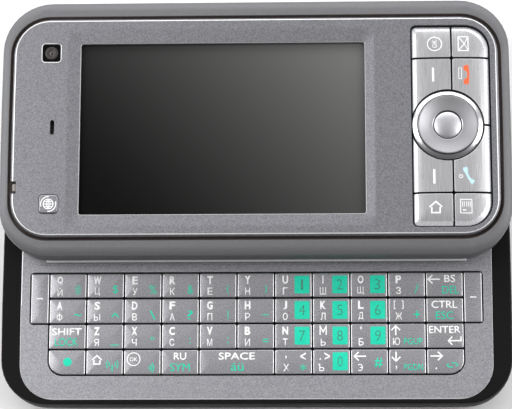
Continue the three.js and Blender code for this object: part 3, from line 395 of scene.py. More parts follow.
def narrow_plate(piece):
    """Opens the groove round the plate, deepens its notch and eases the edges that catch light."""
    low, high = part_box("face_plate")
    middle, half = (low + high) / 2, (high - low) / 2
    outside = outline_of("face_plate", PLATE_CORNER)
    light_low, light_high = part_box("status_light")
    notch_middle = light_low.y + 1.3 * MM
    draw_in = 0.3 * MM
    floor_level = high.z - 0.75 * MM
    edit(piece)
    pick(piece, lambda v: v.co.z < high.z - DISH_LEVEL and outside(v.co) > -0.4 * MM, "VERT")
    bpy.ops.transform.resize(value=((half.x - draw_in) / half.x, (half.y - draw_in) / half.y, 1),
                             center_override=middle)
    finish_edit()
    shift(piece, lambda v: abs(v.co.x - light_high.x) < 0.3 * MM
          and abs(v.co.y - notch_middle) < 2 * MM, (-0.6 * MM, 0, 0))
    shift(piece, lambda v: floor_level < v.co.z < floor_level + 0.15 * MM, (0, 0, 0.25 * MM))
    openings = [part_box("front_camera"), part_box("display_window")]
    bevel(piece, lambda edge: all(v.co.z > floor_level and any(
        near_box(v.co, *box, OPENING_REACH) for box in openings) for v in edge.verts)
        and sorted(round(face.normal.z, 1) for face in edge.link_faces) == [0, 1],
        0.2 * MM, 2, clamp_overlap=False)
    bevel(piece, lambda edge: at_level(edge, high.z)
          and all(abs(0.8 * MM + outside(v.co)) < 0.14 * MM for v in edge.verts)
          and any(face.normal.z < 0.9 for face in edge.link_faces),
          0.13 * MM, 2, clamp_overlap=False)


def ease_deck(piece):
    """Rounds the deck's outline, which the light catches, more than its openings."""
    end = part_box("keyboard_deck")[0].x
    outside = outline_of("keyboard_deck", DECK_CORNER)
    level = max(v.co.z for v in piece.data.vertices if abs(v.co.x - end) < TOUCH)
    bevel(piece, lambda edge: at_level(edge, level) and all(
        abs(outside(v.co)) < 0.05 * MM for v in edge.verts), 0.24 * MM, 3, clamp_overlap=False)


def moulded_copy(node, name, edge, steps=3, angle=28, shape=None):
    """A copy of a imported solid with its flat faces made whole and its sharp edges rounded."""
    piece = plain_copy(node, name)
    if shape:
        shape(piece)
    apply_modifier(piece, "BEVEL", width=edge, segments=steps, limit_method="ANGLE",
                   angle_limit=math.radians(angle), use_clamp_overlap=True, harden_normals=False)
    smooth(piece)
    apply_modifier(piece, "WEIGHTED_NORMAL", keep_sharp=True, weight=60)
    return piece


def dress(piece, finish, body, slot, *nodes):
    """Gives a finished piece its finish and its body, and hides the solids that it stands for. The slot is
    not used.
    """
    piece.data.materials.clear()
    piece.data.materials.append(finish_of(finish))
    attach(piece, body)
    if nodes:
        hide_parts(*nodes)
    return piece


def second_finish(piece, finish, test):
    """Gives the faces that pass the test a further finish."""
    piece.data.materials.append(finish_of(finish))
    edit(piece)
    pick(piece, test, "FACE")
    piece.active_material_index = len(piece.data.materials) - 1
    bpy.ops.object.material_slot_assign()
    finish_edit()


def paint_node(node, finish):
    """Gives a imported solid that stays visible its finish."""
    slots = frame["nodes"][node].data.materials
    slots.clear()
    slots.append(finish_of(finish))


# Material helpers

def add_node(tree, kind, links=None, values=None, **settings):
    """Adds one node with its settings, its values and what leads into it.

    A node among the links stands for its own first output.
    """
    node = tree.nodes.new("ShaderNode" + kind)
    for key, value in settings.items():
        setattr(node, key, value)
    for key, value in (values or {}).items():
        node.inputs[key].default_value = value
    for key, source in (links or {}).items():
        tree.links.new(getattr(source, "outputs", [source])[0], node.inputs[key])
    return node


def start_material(name):
    """A material without nodes but its Object coordinates."""
    material = bpy.data.materials.new(name)
    material.use_nodes = True
    tree = material.node_tree
    tree.nodes.clear()
    return material, tree, add_node(tree, "TexCoord").outputs["Object"]


def end_material(tree, links, values):
    """Adds the shader and the output."""
    shader = add_node(tree, "BsdfPrincipled", links, values)
    add_node(tree, "OutputMaterial", {"Surface": shader})


def shade(base, factor):
    """A colour made lighter or darker by a factor."""
    return tuple(min(1.0, part * factor) for part in base[:3]) + (1.0,)


def limits(low, high, from_low=0.3, from_high=0.7):
    """The values of a range node: a texture's usual spread brought to another one."""
    return {"From Min": from_low, "From Max": from_high, "To Min": low, "To Max": high}


def surface(tree, pattern, tones, rough, values, relief=None, drift=None, reach=(0.3, 0.7)):
    """Ends a material whose colour, gloss and relief follow a pattern.

    rough is the lowest and highest roughness, relief the strength and the height (mm) of the
    bumps, drift a pattern for the roughness alone, and reach the pattern's own spread.
    """
    share = add_node(tree, "MapRange", {"Value": pattern}, limits(0, 1, *reach))
    tone = add_node(tree, "Mix", {"Factor": share},
                    {"A": tones[0], "B": tones[1]}, data_type="RGBA")
    gloss = add_node(tree, "MapRange", {"Value": pattern if drift is None else drift},
                     limits(*rough))
    links = {"Base Color": tone.outputs["Result"], "Roughness": gloss}
    if relief:
        strength, height = relief
        links["Normal"] = add_node(tree, "Bump", {"Height": pattern},
                                   {"Strength": strength, "Distance": height * MM})
    end_material(tree, links, values)


def either_side(base, spread):
    """A colour made darker and lighter by the same share."""
    return shade(base, 1 - spread), shade(base, 1 + spread)


def flake_paint(name, base, metallic, roughness, grain_mm=0.34, spread=0.26, coat=0.15):
    """Metallic lacquer sprayed on moulded plastic: aluminium flakes glint in a satin coat.

    Real flakes are some 0.03 mm across; they are drawn coarser so that they show.
    """
    material, tree, place = start_material(name)
    grain = add_node(tree, "TexNoise", {"Vector": place},
                     {"Scale": 1 / (grain_mm * MM), "Detail": 3.0, "Roughness": 0.7})
    flakes = add_node(tree, "TexVoronoi", {"Vector": place}, {"Scale": 1 / (0.7 * grain_mm * MM)})
    glint = add_node(tree, "SeparateColor", {"Color": flakes.outputs["Color"]})
    both = add_node(tree, "Math", {0: grain, 1: glint}, operation="ADD")
    surface(tree, both, either_side(base, spread), (roughness - 0.04, roughness + 0.05),
            {"Metallic": metallic, "Coat Weight": coat, "Coat Roughness": 0.25},
            relief=(0.25, 0.006), drift=grain, reach=(0.4, 1.6))
    return material


def textured_abs(name, base, roughness=0.58):
    """Injection-moulded ABS with a spark-eroded texture: black, with a faint sheen on its curves."""
    material, tree, place = start_material(name)
    pits = add_node(tree, "TexNoise", {"Vector": place},
                    {"Scale": 1 / (0.22 * MM), "Detail": 4.0, "Roughness": 0.65})
    patches = add_node(tree, "TexNoise", {"Vector": place}, {"Scale": 1 / (9 * MM), "Detail": 2.0})
    surface(tree, pits, (shade(base, 0.6), shade(base, 1.5)),
            (roughness - 0.05, roughness + 0.05), {"IOR": 1.52, "Specular IOR Level": 0.12},
            relief=(0.5, 0.02), drift=patches)
    return material


def brushed_metal(name, base, roughness, along="Y", grain_mm=0.12, metallic=0.9, relief_mm=0.008,
                  spread=0.12):
    """Brushed and lacquered metal foil: fine lines run one way and stretch the highlights."""
    material, tree, place = start_material(name)
    fine, slow = 1 / (grain_mm * MM), 1 / (5 * MM)
    drawn = add_node(tree, "Mapping", {"Vector": place},
                     {"Scale": (fine, slow, slow) if along == "Y" else (slow, fine, slow)})
    lines = add_node(tree, "TexNoise", {"Vector": drawn},
                     {"Scale": 1.0, "Detail": 3.0, "Roughness": 0.6})
    surface(tree, lines, either_side(base, spread), (roughness - 0.05, roughness + 0.07),
            {"Metallic": metallic}, relief=(0.2, relief_mm))
    return material


def spun_metal(name, base, roughness, centre, spread=0.1):
    """Turned metal: fine circles round the middle, as a lathe leaves them."""
    material, tree, place = start_material(name)
    centred = add_node(tree, "VectorMath", {0: place}, {1: (-centre.x, -centre.y, 0)},
                       operation="ADD")
    flat = add_node(tree, "VectorMath", {0: centred}, {1: (1, 1, 0)}, operation="MULTIPLY")
    reach = add_node(tree, "VectorMath", {0: flat}, operation="LENGTH")
    rings = add_node(tree, "TexNoise", {"W": reach.outputs["Value"]},
                     {"Scale": 1 / (0.12 * MM), "Detail": 2.0}, noise_dimensions="1D")
    surface(tree, rings, either_side(base, spread), (roughness - 0.04, roughness + 0.06),
            {"Metallic": 1.0}, relief=(0.15, 0.01))
    return material


def moulded_plastic(name, base, roughness=0.4, grain_mm=1.5, spread=0.08, ior=1.5, coat=0.0):
    """Smooth moulded plastic, rubber or ink: nearly even, with slow flow marks."""
    material, tree, place = start_material(name)
    flow = add_node(tree, "TexNoise", {"Vector": place},
                    {"Scale": 1 / (grain_mm * MM), "Detail": 4.0})
    surface(tree, flow, either_side(base, spread),
            (max(roughness - 0.04, 0.02), roughness + 0.05), {"IOR": ior, "Coat Weight": coat})
    return material


def touch_panel(name, dark, painted_reflection_tone):
    """Hard-coated touch film over a switched-off cell: black, with a painted reflection that pales its colour
    towards one corner.
    """
    material, tree, place = start_material(name)
    low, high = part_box("display_window")
    share = add_node(tree, "Mapping", {"Vector": place},
                     {"Location": (-low.x / (high.x - low.x), -low.y / (high.y - low.y), 0),
                      "Scale": (1 / (high.x - low.x), 1 / (high.y - low.y), 1)})
    along = add_node(tree, "VectorMath", {0: share}, {1: (0.62, 0.365, 0)}, operation="DOT_PRODUCT")
    # Painted reflection: the colour pales from black towards the upper right corner.
    painted_reflection = add_node(tree, "Math", {0: along.outputs["Value"]}, {1: 2.2}, operation="POWER")
    grain = add_node(tree, "TexNoise", {"Vector": place}, {"Scale": 1 / (0.25 * MM), "Detail": 2.0})
    uneven = add_node(tree, "Math", {0: grain}, {1: 0.01}, operation="MULTIPLY")
    factor = add_node(tree, "Math", {0: painted_reflection, 1: uneven}, operation="ADD")
    tone = add_node(tree, "Mix", {"Factor": factor}, {"A": dark, "B": painted_reflection_tone}, data_type="RGBA")
    rough = add_node(tree, "MapRange", {"Value": grain}, limits(0.3, 0.38))
    end_material(tree, {"Base Color": tone.outputs["Result"], "Roughness": rough},
                 {"IOR": 1.36, "Specular IOR Level": 0.1})
    return material


def printed_ink(name, base):
    """Screen-printed ink: flat and slightly uneven where the mesh laid it down."""
    return moulded_plastic(name, base, roughness=0.55, grain_mm=0.5, spread=0.05)


def circuit_board(name, mask, copper):
    """Glass-fibre board under solder mask: traces show as a lighter pattern."""
    material, tree, place = start_material(name)
    traces = add_node(tree, "TexBrick", {"Vector": place},
                      {"Scale": 1 / (6 * MM), "Mortar Size": 0.02, "Brick Width": 0.5, "Row Height": 0.12,
                       "Color1": mask, "Color2": shade(mask, 1.35), "Mortar": copper})
    cloud = add_node(tree, "TexNoise", {"Vector": place}, {"Scale": 1 / (4 * MM)})
    rough = add_node(tree, "MapRange", {"Value": cloud}, limits(0.3, 0.5))
    relief = add_node(tree, "Bump", {"Height": traces.outputs["Fac"]},
                      {"Strength": 0.4, "Distance": 0.03 * MM})
    end_material(tree, {"Base Color": traces.outputs["Color"], "Roughness": rough, "Normal": relief},
                 {"IOR": 1.55})
    return material


def perforated(name, base, hole, pitch_mm):
    """Punched sheet or woven mesh: dark round holes in even rows."""
    material, tree, place = start_material(name)
    cells = add_node(tree, "TexVoronoi", {"Vector": place},
                     {"Scale": 1 / (pitch_mm * MM), "Randomness": 0.0}, voronoi_dimensions="2D")
    factor = add_node(tree, "MapRange", {"Value": cells}, limits(0, 1, 0.28, 0.36))
    tone = add_node(tree, "Mix", {"Factor": factor}, {"A": hole, "B": base}, data_type="RGBA")
    relief = add_node(tree, "Bump", {"Height": factor}, {"Strength": 0.6, "Distance": 0.05 * MM})
    end_material(tree, {"Base Color": tone.outputs["Result"], "Normal": relief}, {"Roughness": 0.45})
    return material


def make_materials():
    """Every finish of the phone, by name."""
    colours = bpy.context.scene.phone_colours
    centre = middle_of("nav_ring")
    return {
        # Lacquers: fine flakes glitter on the shells. Edges and the front keys' slopes are near-white, as a
        # painted highlight.
        "face_paint": flake_paint("silver_grey_flake_lacquer", colours.face_paint, 0.65, 0.42, 0.24, 0.34),
        "frame_paint": flake_paint("gunmetal_satin_lacquer", colours.frame_paint, 0.3, 0.48, 0.25, 0.08,
                                   0.03),
        "deck_paint": flake_paint("light_grey_flake_lacquer", colours.deck_paint, 0.6, 0.44, 0.24, 0.34),
        "painted_highlight_edge": flake_paint("near_white_painted_highlight", colours.painted_highlight_edge, 0.3, 0.3, 0.25, 0.03),
        "key_slope_painted_highlight": flake_paint("front_key_slope_painted_highlight", srgb("#e2e2e6"), 0.35, 0.26, 0.25, 0.03, 0.3),
        # Black plastics: nearly matt. The housing is black; the keys' sides are painted black as shade, so
        # that the gaps between keys stay deep.
        "key_side_painted_shade": moulded_plastic("black_key_skirt", srgb("#09090a"), 0.6, 1, 0.1, 1.45),
        "housing": textured_abs("black_textured_abs", colours.housing),
        "inner_plastic": textured_abs("black_inner_abs", srgb("#1c1c1e"), 0.6),
        # Metals: soft streaks on the keys, and sheen that turns with the circles on the ring.
        "front_keys": brushed_metal("satin_silver_foil", colours.front_keys, 0.3, metallic=0.85,
                                    relief_mm=0.001, spread=0.05),
        "side_keys": brushed_metal("brushed_silver_side_foil", colours.front_keys, 0.34, along="X"),
        "keyboard_keys": flake_paint("grey_lacquered_polycarbonate", colours.keyboard_keys, 0.6, 0.28,
                                     0.22, 0.07),
        "chrome": spun_metal("polished_chrome", srgb("#e6e6e9"), 0.22, centre, spread=0.04),
        "select_disc": spun_metal("satin_spun_aluminium", srgb("#cbcbcf"), 0.38, centre),
        "spun_disc": spun_metal("spun_aluminium", srgb("#c6c6ca"), 0.32, centre),
        # Rubber: dull. The groove's liner is dark as painted shade, so that the groove reads as a dark line.
        "groove_painted_shade": moulded_plastic("groove_liner_painted_shade", srgb("#4a423f"), 0.5, 1, 0.15, 1.52),
        "mat": moulded_plastic("black_silicone_mat", srgb("#0c0c0d"), 0.7, 2, 0.1, 1.41),
        # Display, windows and lens: black with a soft or a sharp gloss.
        # The touch panel's colour carries a painted reflection that pales towards one corner.
        "glass": touch_panel("touch_panel_painted_reflection", srgb("#050505"), srgb("#777776")),
        "panel": moulded_plastic("display_cell", srgb("#0c0d10"), 0.3, 3, 0.2),
        "window_black": moulded_plastic("gloss_black_acrylic", srgb("#040405"), 0.12, 4, 0.2, 1.25),
        "lens": moulded_plastic("coated_lens_glass", srgb("#0d0a10"), 0.04, 1, 0.3, 1.6, coat=0.8),
        "barrel": moulded_plastic("anodised_lens_barrel", srgb("#2f2a28"), 0.4, 0.6, 0.25),
        "light_pipe": moulded_plastic("smoked_acrylic", srgb("#8b8481"), 0.15, 0.5, 0.25, 1.49),
        # Inks: flat and opaque, without a highlight.
        "white_ink": printed_ink("white_screen_ink", colours.white_ink),
        "mint_ink": printed_ink("mint_screen_ink", colours.mint_ink),
        "digit_ink": printed_ink("grey_green_screen_ink", srgb("#3f8f78")),
        "red_ink": printed_ink("red_screen_ink", srgb("#f5693c")),
        "blue_ink": printed_ink("pale_blue_screen_ink", srgb("#c4ecf8")),
        # Inside and back: quiet tones that show through gaps and when the phone moves.
        "steel": brushed_metal("stamped_stainless_steel", srgb("#b4b5b8"), 0.32, grain_mm=0.2),
        "board": circuit_board("solder_masked_board", srgb("#1c5a38"), srgb("#3f8a5a")),
        "silicone": moulded_plastic("translucent_silicone", srgb("#d5d5cf"), 0.6, 2, 0.05, 1.41),
        "wrap": moulded_plastic("battery_shrink_wrap", srgb("#b9bec6"), 0.4, 6, 0.06),
        "runner": moulded_plastic("natural_acetal", srgb("#e3e0d6"), 0.42, 2, 0.05, 1.48),
        "flex": moulded_plastic("amber_polyimide_film", srgb("#b06a22"), 0.3, 1.2, 0.12, 1.6),
        "grille": perforated("punched_speaker_cloth", srgb("#3a3a3c"), srgb("#050505"), 0.5),
    }


def finish_of(name):
    """The named finish, made on first use."""
    if not FINISHES:
        FINISHES.update(make_materials())
    return FINISHES[name]


# Pieces

class PHONE_OT_shells(bpy.types.Operator):
    """Rounds the edges of the frame, face plate, deck, housing and battery cover"""

    bl_idname = "phone.shells"
    bl_label = "Shells"

    def execute(self, context):
        self.groove_painted_shade()
        edge = context.scene.phone_sizes.shell_edge
        shells = [
            ("slide_frame", "outer_frame", "display_half", "grey_paint", "frame_paint"),
            ("face_plate", "front_plate", "display_half", "grey_paint", "face_paint"),
            ("keyboard_deck", "keyboard_surround", "keyboard_half", "deck_paint", "deck_paint"),
            ("back_shell", "back_housing", "keyboard_half", "black_housing", "housing"),
            ("battery_cover", "battery_door", "battery_cover", "black_housing", "housing"),
        ]
        for node, name, body, slot, finish in shells:
            shape = {"face_plate": narrow_plate, "keyboard_deck": ease_deck}.get(node)
            piece = moulded_copy(node, name, edge, shape=shape)
            dress(piece, finish, body, slot, node)
            if node in ("face_plate", "keyboard_deck"):
                self.paint_edge_highlights(piece, node)
        self.lip()
        return {"FINISHED"}

    def paint_edge_highlights(self, piece, node):
        """Paints the sloped edges of the plate and the deck near-white: thin lines of painted highlight."""
        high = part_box(node)[1]
        radius, inset, steepest, openings = DECK_CORNER, 0, 0.2, []
        if node == "face_plate":
            radius, inset, steepest = PLATE_CORNER, 0.85 * MM, 0.78
            openings = [(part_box("front_camera"), high.z), (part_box("display_window"), high.z - DISH_LEVEL)]
        outside = outline_of(node, radius)

        def takes_painted_highlight(face):
            place = face.calc_center_median()
            if not 0.2 < face.normal.z < 0.993:
                return False
            if abs(outside(place) + inset) < 0.24 * MM and face.normal.z > steepest:
                return True
            return any(near_box(place, *box, OPENING_REACH) and 0.01 * MM < level - place.z < 0.25 * MM
                       for box, level in openings)

        second_finish(piece, "painted_highlight_edge", takes_painted_highlight)

    def lip(self):
        """The strip under the frame's straight long side, near-white as a painted highlight line."""
        low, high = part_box("slide_frame")
        reach = (high.x - low.x) / 2 - 10.5 * MM
        strip = block("frame_lip", (-reach, low.y - 0.12 * MM, low.z + 0.05 * MM),
                      (reach, low.y + 1.5 * MM, low.z + 0.17 * MM))
        bevel(strip, lambda edge: all(v.co.y < low.y for v in edge.verts), 0.04 * MM, 2)
        smooth(strip)
        dress(strip, "painted_highlight_edge", "display_half", "grey_paint")

    def groove_painted_shade(self):
        """A dark liner in the groove between frame and plate: its colour is painted shade."""
        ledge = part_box("face_plate")[0].z - 0.3 * MM
        groove = 0.5 * MM
        outside = outline_of("face_plate", PLATE_CORNER + groove, groove)
        piece = plain_copy("slide_frame", "groove_shade_liner")
        drop_faces(piece, lambda face: not all(
            v.co.z > ledge - TOUCH and outside(v.co) < 0.05 * MM for v in face.verts))
        apply_modifier(piece, "SOLIDIFY", thickness=0.08 * MM, offset=1, use_even_offset=True)
        smooth(piece)
        dress(piece, "groove_painted_shade", "display_half", "silicone")


class PHONE_OT_display(bpy.types.Operator):
    """Makes the touch panel and dresses the display cell behind it"""

    bl_idname = "phone.display"
    bl_label = "Display"

    def execute(self, context):
        panel = moulded_copy("display_window", "touch_panel", 0.05 * MM, 2)
        dress(panel, "glass", "display_half", "display_glass", "display_window")
        paint_node("display_module", "panel")
        return {"FINISHED"}


def rows_of_caps(node):
    """The low and high corners of each cap of a row of letter keys."""
    low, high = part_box(node)
    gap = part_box("comma_key")[0].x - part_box("space_bar")[1].x
    count = len(LETTER_ROWS[node])
    pitch = (high.x - low.x + gap) / count
    for i in range(count):
        x = low.x + i * pitch
        yield Vector((x, low.y, low.z)), Vector((x + pitch - gap, high.y, high.z))


def cap_name(node):
    """The name of the cap that stands for a key."""
    return node.replace("_key", "_cap") if "_key" in node else node + "_cap"


def key_cap(name, low, high, radii, steps):
    """A keyboard cap: rounded corners, a bright sloped edge and a low crown, lower on a slim cap."""
    sizes = bpy.context.scene.phone_sizes
    edge = sizes.key_edge
    reach = min(high.x - low.x, high.y - low.y) / 2 - edge
    rise = sizes.key_crown * min(1, reach / (2.6 * MM)) ** 2
    cap = block(name, low, (high.x, high.y, high.z - rise - edge))
    round_corners(cap, radii, steps)
    crown(cap, [(edge * 0.35, edge * 0.6), (edge * 0.65, edge * 0.4), (reach * 0.2, rise * 0.34),
                (reach * 0.24, rise * 0.3), (reach * 0.24, rise * 0.22), (reach * 0.2, rise * 0.14)])
    smooth(cap, 20)
    return cap


def dress_cap(cap, node):
    """Grey lacquer on top, a near-white painted highlight on the bevels that face left and right, and sides
    painted black as shade in the gaps.
    """
    dress(cap, "keyboard_keys", node, "keyboard_keys", node)
    # Painted highlight: the bevels that face left and right are near-white.
    second_finish(cap, "painted_highlight_edge", lambda face: SIDE < face.normal.z < 0.95
                  and abs(face.normal.x) > abs(face.normal.y))
    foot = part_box(node)[0].z + 0.5 * MM
    # Painted shade: the sides and the foot are black, so that the gaps read dark.
    second_finish(cap, "key_side_painted_shade", lambda face: face.normal.z <= SIDE
                  or face.calc_center_median().z < foot)


class PHONE_OT_keyboard(bpy.types.Operator):
    """Models the caps of the keyboard: one cap for the letters, copied, and the others alone"""

    bl_idname = "phone.keyboard"
    bl_label = "Keyboard"

    def execute(self, context):
        corner = context.scene.phone_sizes.key_corner
        first = None
        for node in LETTER_ROWS:
            strip_low, strip_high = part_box(node)
            caps = []
            for low, high in rows_of_caps(node):
                if first is None:
                    first, origin = key_cap("letter_cap", low, high, [corner] * 4, 3), low.copy()
                caps.append(copy_of(first, "cap", low - origin))
            middle = (strip_low.y + strip_high.y) / 2
            carrier = block("carrier", (strip_low.x + corner, middle - MM, strip_low.z),
                            (strip_high.x - corner, middle + MM, strip_low.z + 0.3 * MM))
            row = join(caps + [carrier], cap_name(node))
            dress_cap(row, node)
        bpy.data.objects.remove(first)
        for node in LONE_KEYS:
            low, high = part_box(node)
            radii, steps = [corner] * 4, 3
            if node in ("function_key", "right_arrow_key"):
                radii[0 if node == "function_key" else 1] = 3.2 * MM
                steps = 8
            dress_cap(key_cap(cap_name(node), low, high, radii, steps), node)
        return {"FINISHED"}


class PHONE_OT_front_keys(bpy.types.Operator):
    """Models the eight silver keys: one sloped form, cut into keys round the navigation ring"""

    bl_idname = "phone.front_keys"
    bl_label = "Front keys"

    def execute(self, context):
        sizes = context.scene.phone_sizes
        boxes = {node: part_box(node) for node in FRONT_KEYS}
        low = Vector([min(box[0][i] for box in boxes.values()) for i in range(3)])
        high = Vector([max(box[1][i] for box in boxes.values()) for i in range(3)])
        small, large = 1.0 * MM, 5.6 * MM
        slack = 0.07 * MM
        slopes = [(0.1 * MM, 0.1 * MM), (sizes.front_key_edge, 0.36 * MM), (1.0 * MM, 0.18 * MM),
                  (1.5 * MM, 0.14 * MM), (2.2 * MM, 0.1 * MM)]
        form = block("key_form", low + Vector((slack, slack, 0)),
                     (high.x - slack, high.y - slack, high.z - sum(rise for inset, rise in slopes)))
        round_corners(form, [small, large, large, small], sizes.round_steps)
        crown(form, slopes)
        ring, ring_gap = middle_of("nav_ring"), 8.5 * MM
        for node, corners in boxes.items():
            key = copy_of(form, cap_name(node))
            near = [at + (-MM if abs(at - end) < TOUCH else slack) for at, end in zip(corners[0], low)]
            far = [at + (MM if abs(at - end) < TOUCH else -slack) for at, end in zip(corners[1], high)]
            cutter = block("cutter", near, far)
            round_corners(cutter, [0.3 * MM] * 4, 4)
            cut_with(key, cutter, "INTERSECT")
            if corners[0].y > low.y + MM and corners[1].y < high.y - MM:
                cut_with(key, added(bpy.ops.mesh.primitive_cylinder_add, vertices=96, radius=ring_gap,
                                    depth=10 * MM, location=(ring.x, ring.y, high.z)))
            apply_modifier(key, "BEVEL", width=0.08 * MM, segments=2, limit_method="ANGLE",
                           angle_limit=math.radians(50))
            smooth(key, 9)
            apply_modifier(key, "WEIGHTED_NORMAL", keep_sharp=True, weight=80)
            dress(key, "front_keys", node, "brushed_keys", node)
            # Painted highlight: the sloped rim is near-white.
            second_finish(key, "key_slope_painted_highlight", lambda face: SIDE < face.normal.z < 0.96)
            # Painted shade: the upright sides are black.
            second_finish(key, "key_side_painted_shade", lambda face: face.normal.z <= SIDE)
        bpy.data.objects.remove(form)
        return {"FINISHED"}


def turned(name, profile, centre, steps=96):
    """Spins a closed profile of (radius, height) points in mm round the upright line through a centre."""
    piece = added(bpy.ops.mesh.primitive_circle_add, vertices=len(profile), radius=MM)
    piece.name = name
    for vertex, (radius, height) in zip(piece.data.vertices, profile):
        vertex.co = (centre.x + radius * MM, centre.y, height * MM)
    edit(piece)
    bpy.ops.mesh.select_all(action="SELECT")
    bpy.ops.mesh.spin(steps=steps, angle=2 * math.pi, center=centre, axis=(0, 0, 1))
    finish_edit()
    tidy_mesh(piece)
    smooth(piece, 30)
    return piece


class PHONE_OT_navigation(bpy.types.Operator):
    """Models the navigation ring, its spun disc and the centre key"""

    bl_idname = "phone.navigation"
    bl_label = "Navigation key"

    def execute(self, context):
        low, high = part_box("nav_ring")
        centre = (low + high) / 2
        outer, bottom, top = (high.x - low.x) / 2 / MM, low.z / MM, high.z / MM
        inner = outer - 1.15
        seat = inner + 0.03
        rim = turned("ring_rim", [
            (seat, bottom), (outer, bottom), (outer, top - 1.05), (outer - 0.04, top - 0.86),
            (outer - 0.14, top - 0.76), (outer - 0.5, top - 0.56), (outer - 0.85, top - 0.39),
            (inner + 0.14, top - 0.3), (seat, top - 0.4)], centre)
        dress(rim, "chrome", "nav_ring", "ring_metal", "nav_ring")
        low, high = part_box("select_key")
        radius = (high.x - low.x) / 2 / MM
        hole = (high.x - centre.x) / MM + 0.2
        wide = inner - 0.17
        disc = turned("ring_disc", [
            (hole, bottom), (wide, bottom), (wide, top - 0.12), (wide - 0.05, top - 0.03),
            (wide - 0.15, top), (wide - 0.3, top - 0.03), (wide - 1.0, top - 0.19),
            (wide - 2.0, top - 0.38), (hole + 0.7, top - 0.52), (hole + 0.15, top - 0.58),
            (hole, top - 0.7)], centre)
        dress(disc, "spun_disc", "nav_ring", "ring_metal")
        bottom, top = low.z / MM, high.z / MM
        key = turned("select_cap", [
            (0, bottom), (radius, bottom), (radius, top - 0.6), (radius - 0.08, top - 0.5),
            (radius * 0.9, top - 0.4), (radius * 0.75, top - 0.26), (radius * 0.5, top - 0.11),
            (radius * 0.25, top - 0.03), (0, top)], centre, 64)
        dress(key, "select_disc", "select_key", "brushed_keys", "select_key")
        paint_node("nav_web", "silicone")
        return {"FINISHED"}


class PHONE_OT_fittings(bpy.types.Operator):
    """Dresses the cameras, the earpiece, the side keys, the socket, the screws and the inside"""

    bl_idname = "phone.fittings"
    bl_label = "Fittings"

    def execute(self, context):
        finishes = {
            "front_camera": "window_black", "rear_camera": "window_black", "earpiece": "grille",
            "loudspeaker": "grille", "web_key": "face_paint",
            "power_key": "side_keys", "volume_rocker": "side_keys", "camera_key": "side_keys",
            "usb_socket": "steel", "near_screw": "steel", "far_screw": "steel",
            "slide_plate": "steel", "slide_back_cover": "inner_plastic", "battery": "wrap",
            "main_board": "board", "keyboard_board": "board", "display_board": "board",
            "keypad_mat": "mat", "key_mat": "mat", "guide_rails": "runner",
        }
        for node, finish in finishes.items():
            paint_node(node, finish)
        self.front_lens()
        self.light_pipe()
        self.flex()
        return {"FINISHED"}

    def flex(self):
        """The flat cable: its lower run stays, and its upper run slides clear of the keys."""
        cable = plain_copy("flex_cable", "flat_cable")
        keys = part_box("q_row_keys")[1].z
        shift(cable, lambda v: keys < v.co.z < keys + 0.5 * MM, (0, 0, 0.12 * MM))
        smooth(cable)
        cable.data.materials.append(finish_of("flex"))
        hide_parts("flex_cable")
        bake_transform(cable)

    def front_lens(self):
        """The barrel and the lens that show in the camera's square window."""
        centre, top = middle_of("front_camera"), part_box("front_camera")[1].z / MM
        barrel = turned("camera_barrel", [
            (0.42, top - 0.12), (1.5, top - 0.12), (1.5, top + 0.01), (1.42, top + 0.04),
            (1.0, top + 0.02), (0.5, top - 0.04), (0.42, top - 0.08)], centre, 48)
        dress(barrel, "barrel", "display_half", "camera_window")
        lens = turned("camera_lens", [
            (0, top - 0.13), (0.4, top - 0.13), (0.4, top - 0.08), (0.3, top - 0.03),
            (0.15, top - 0.01), (0, top)], centre, 32)
        dress(lens, "lens", "display_half", "camera_window")

    def light_pipe(self):
        """The smoked light pipe in its notch at the plate's edge."""
        low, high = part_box("status_light")
        pipe = block("light_pipe", low + Vector((0.55, 0.45, 0)) * MM, high - Vector((0.5, 0.45, 0.1)) * MM)
        round_corners(pipe, [0.25 * MM] * 4, 3)
        crown(pipe, [(0.12 * MM, 0.05 * MM), (0.12 * MM, 0.02 * MM)])
        smooth(pipe)
        dress(pipe, "light_pipe", "display_half", "light_pipe", "status_light")


# Legends

INKS = {"white": "white_ink", "fine": "white_ink", "mint": "mint_ink", "digit": "digit_ink"}


def lettering(text, x, y, level, height, width, boldness=0.0, turn=0.0):
    """Text made into a mesh, brought to a height and width, and centred at a place."""
    piece = added(bpy.ops.object.text_add)
    piece.data.body = text
    piece.data.size = 1
    piece.data.resolution_u = 3
    piece.data.offset = boldness
    bpy.ops.object.convert(target="MESH")
    piece = bpy.context.object
    low, high = span(piece)
    piece.location = (-(low.x + high.x) / 2, -(low.y + high.y) / 2, 0)
    settle(piece)
    piece.scale = (width / (high.x - low.x), height / (high.y - low.y), 1)
    piece.rotation_euler = (0, 0, turn)
    piece.location = (x, y, level)
    settle(piece)
    return piece


def digit_field(x, y, level):
    """The mint field behind a digit."""
    field = block("field", (x - 1.75 * MM, y - 2.1 * MM, level - 0.01 * MM),
                  (x + 1.75 * MM, y + 2.1 * MM, level))
    round_corners(field, [0.3 * MM] * 4, 3)
    drop_faces(field, lambda face: any(v.co.z < level - TOUCH for v in face.verts))
    return field


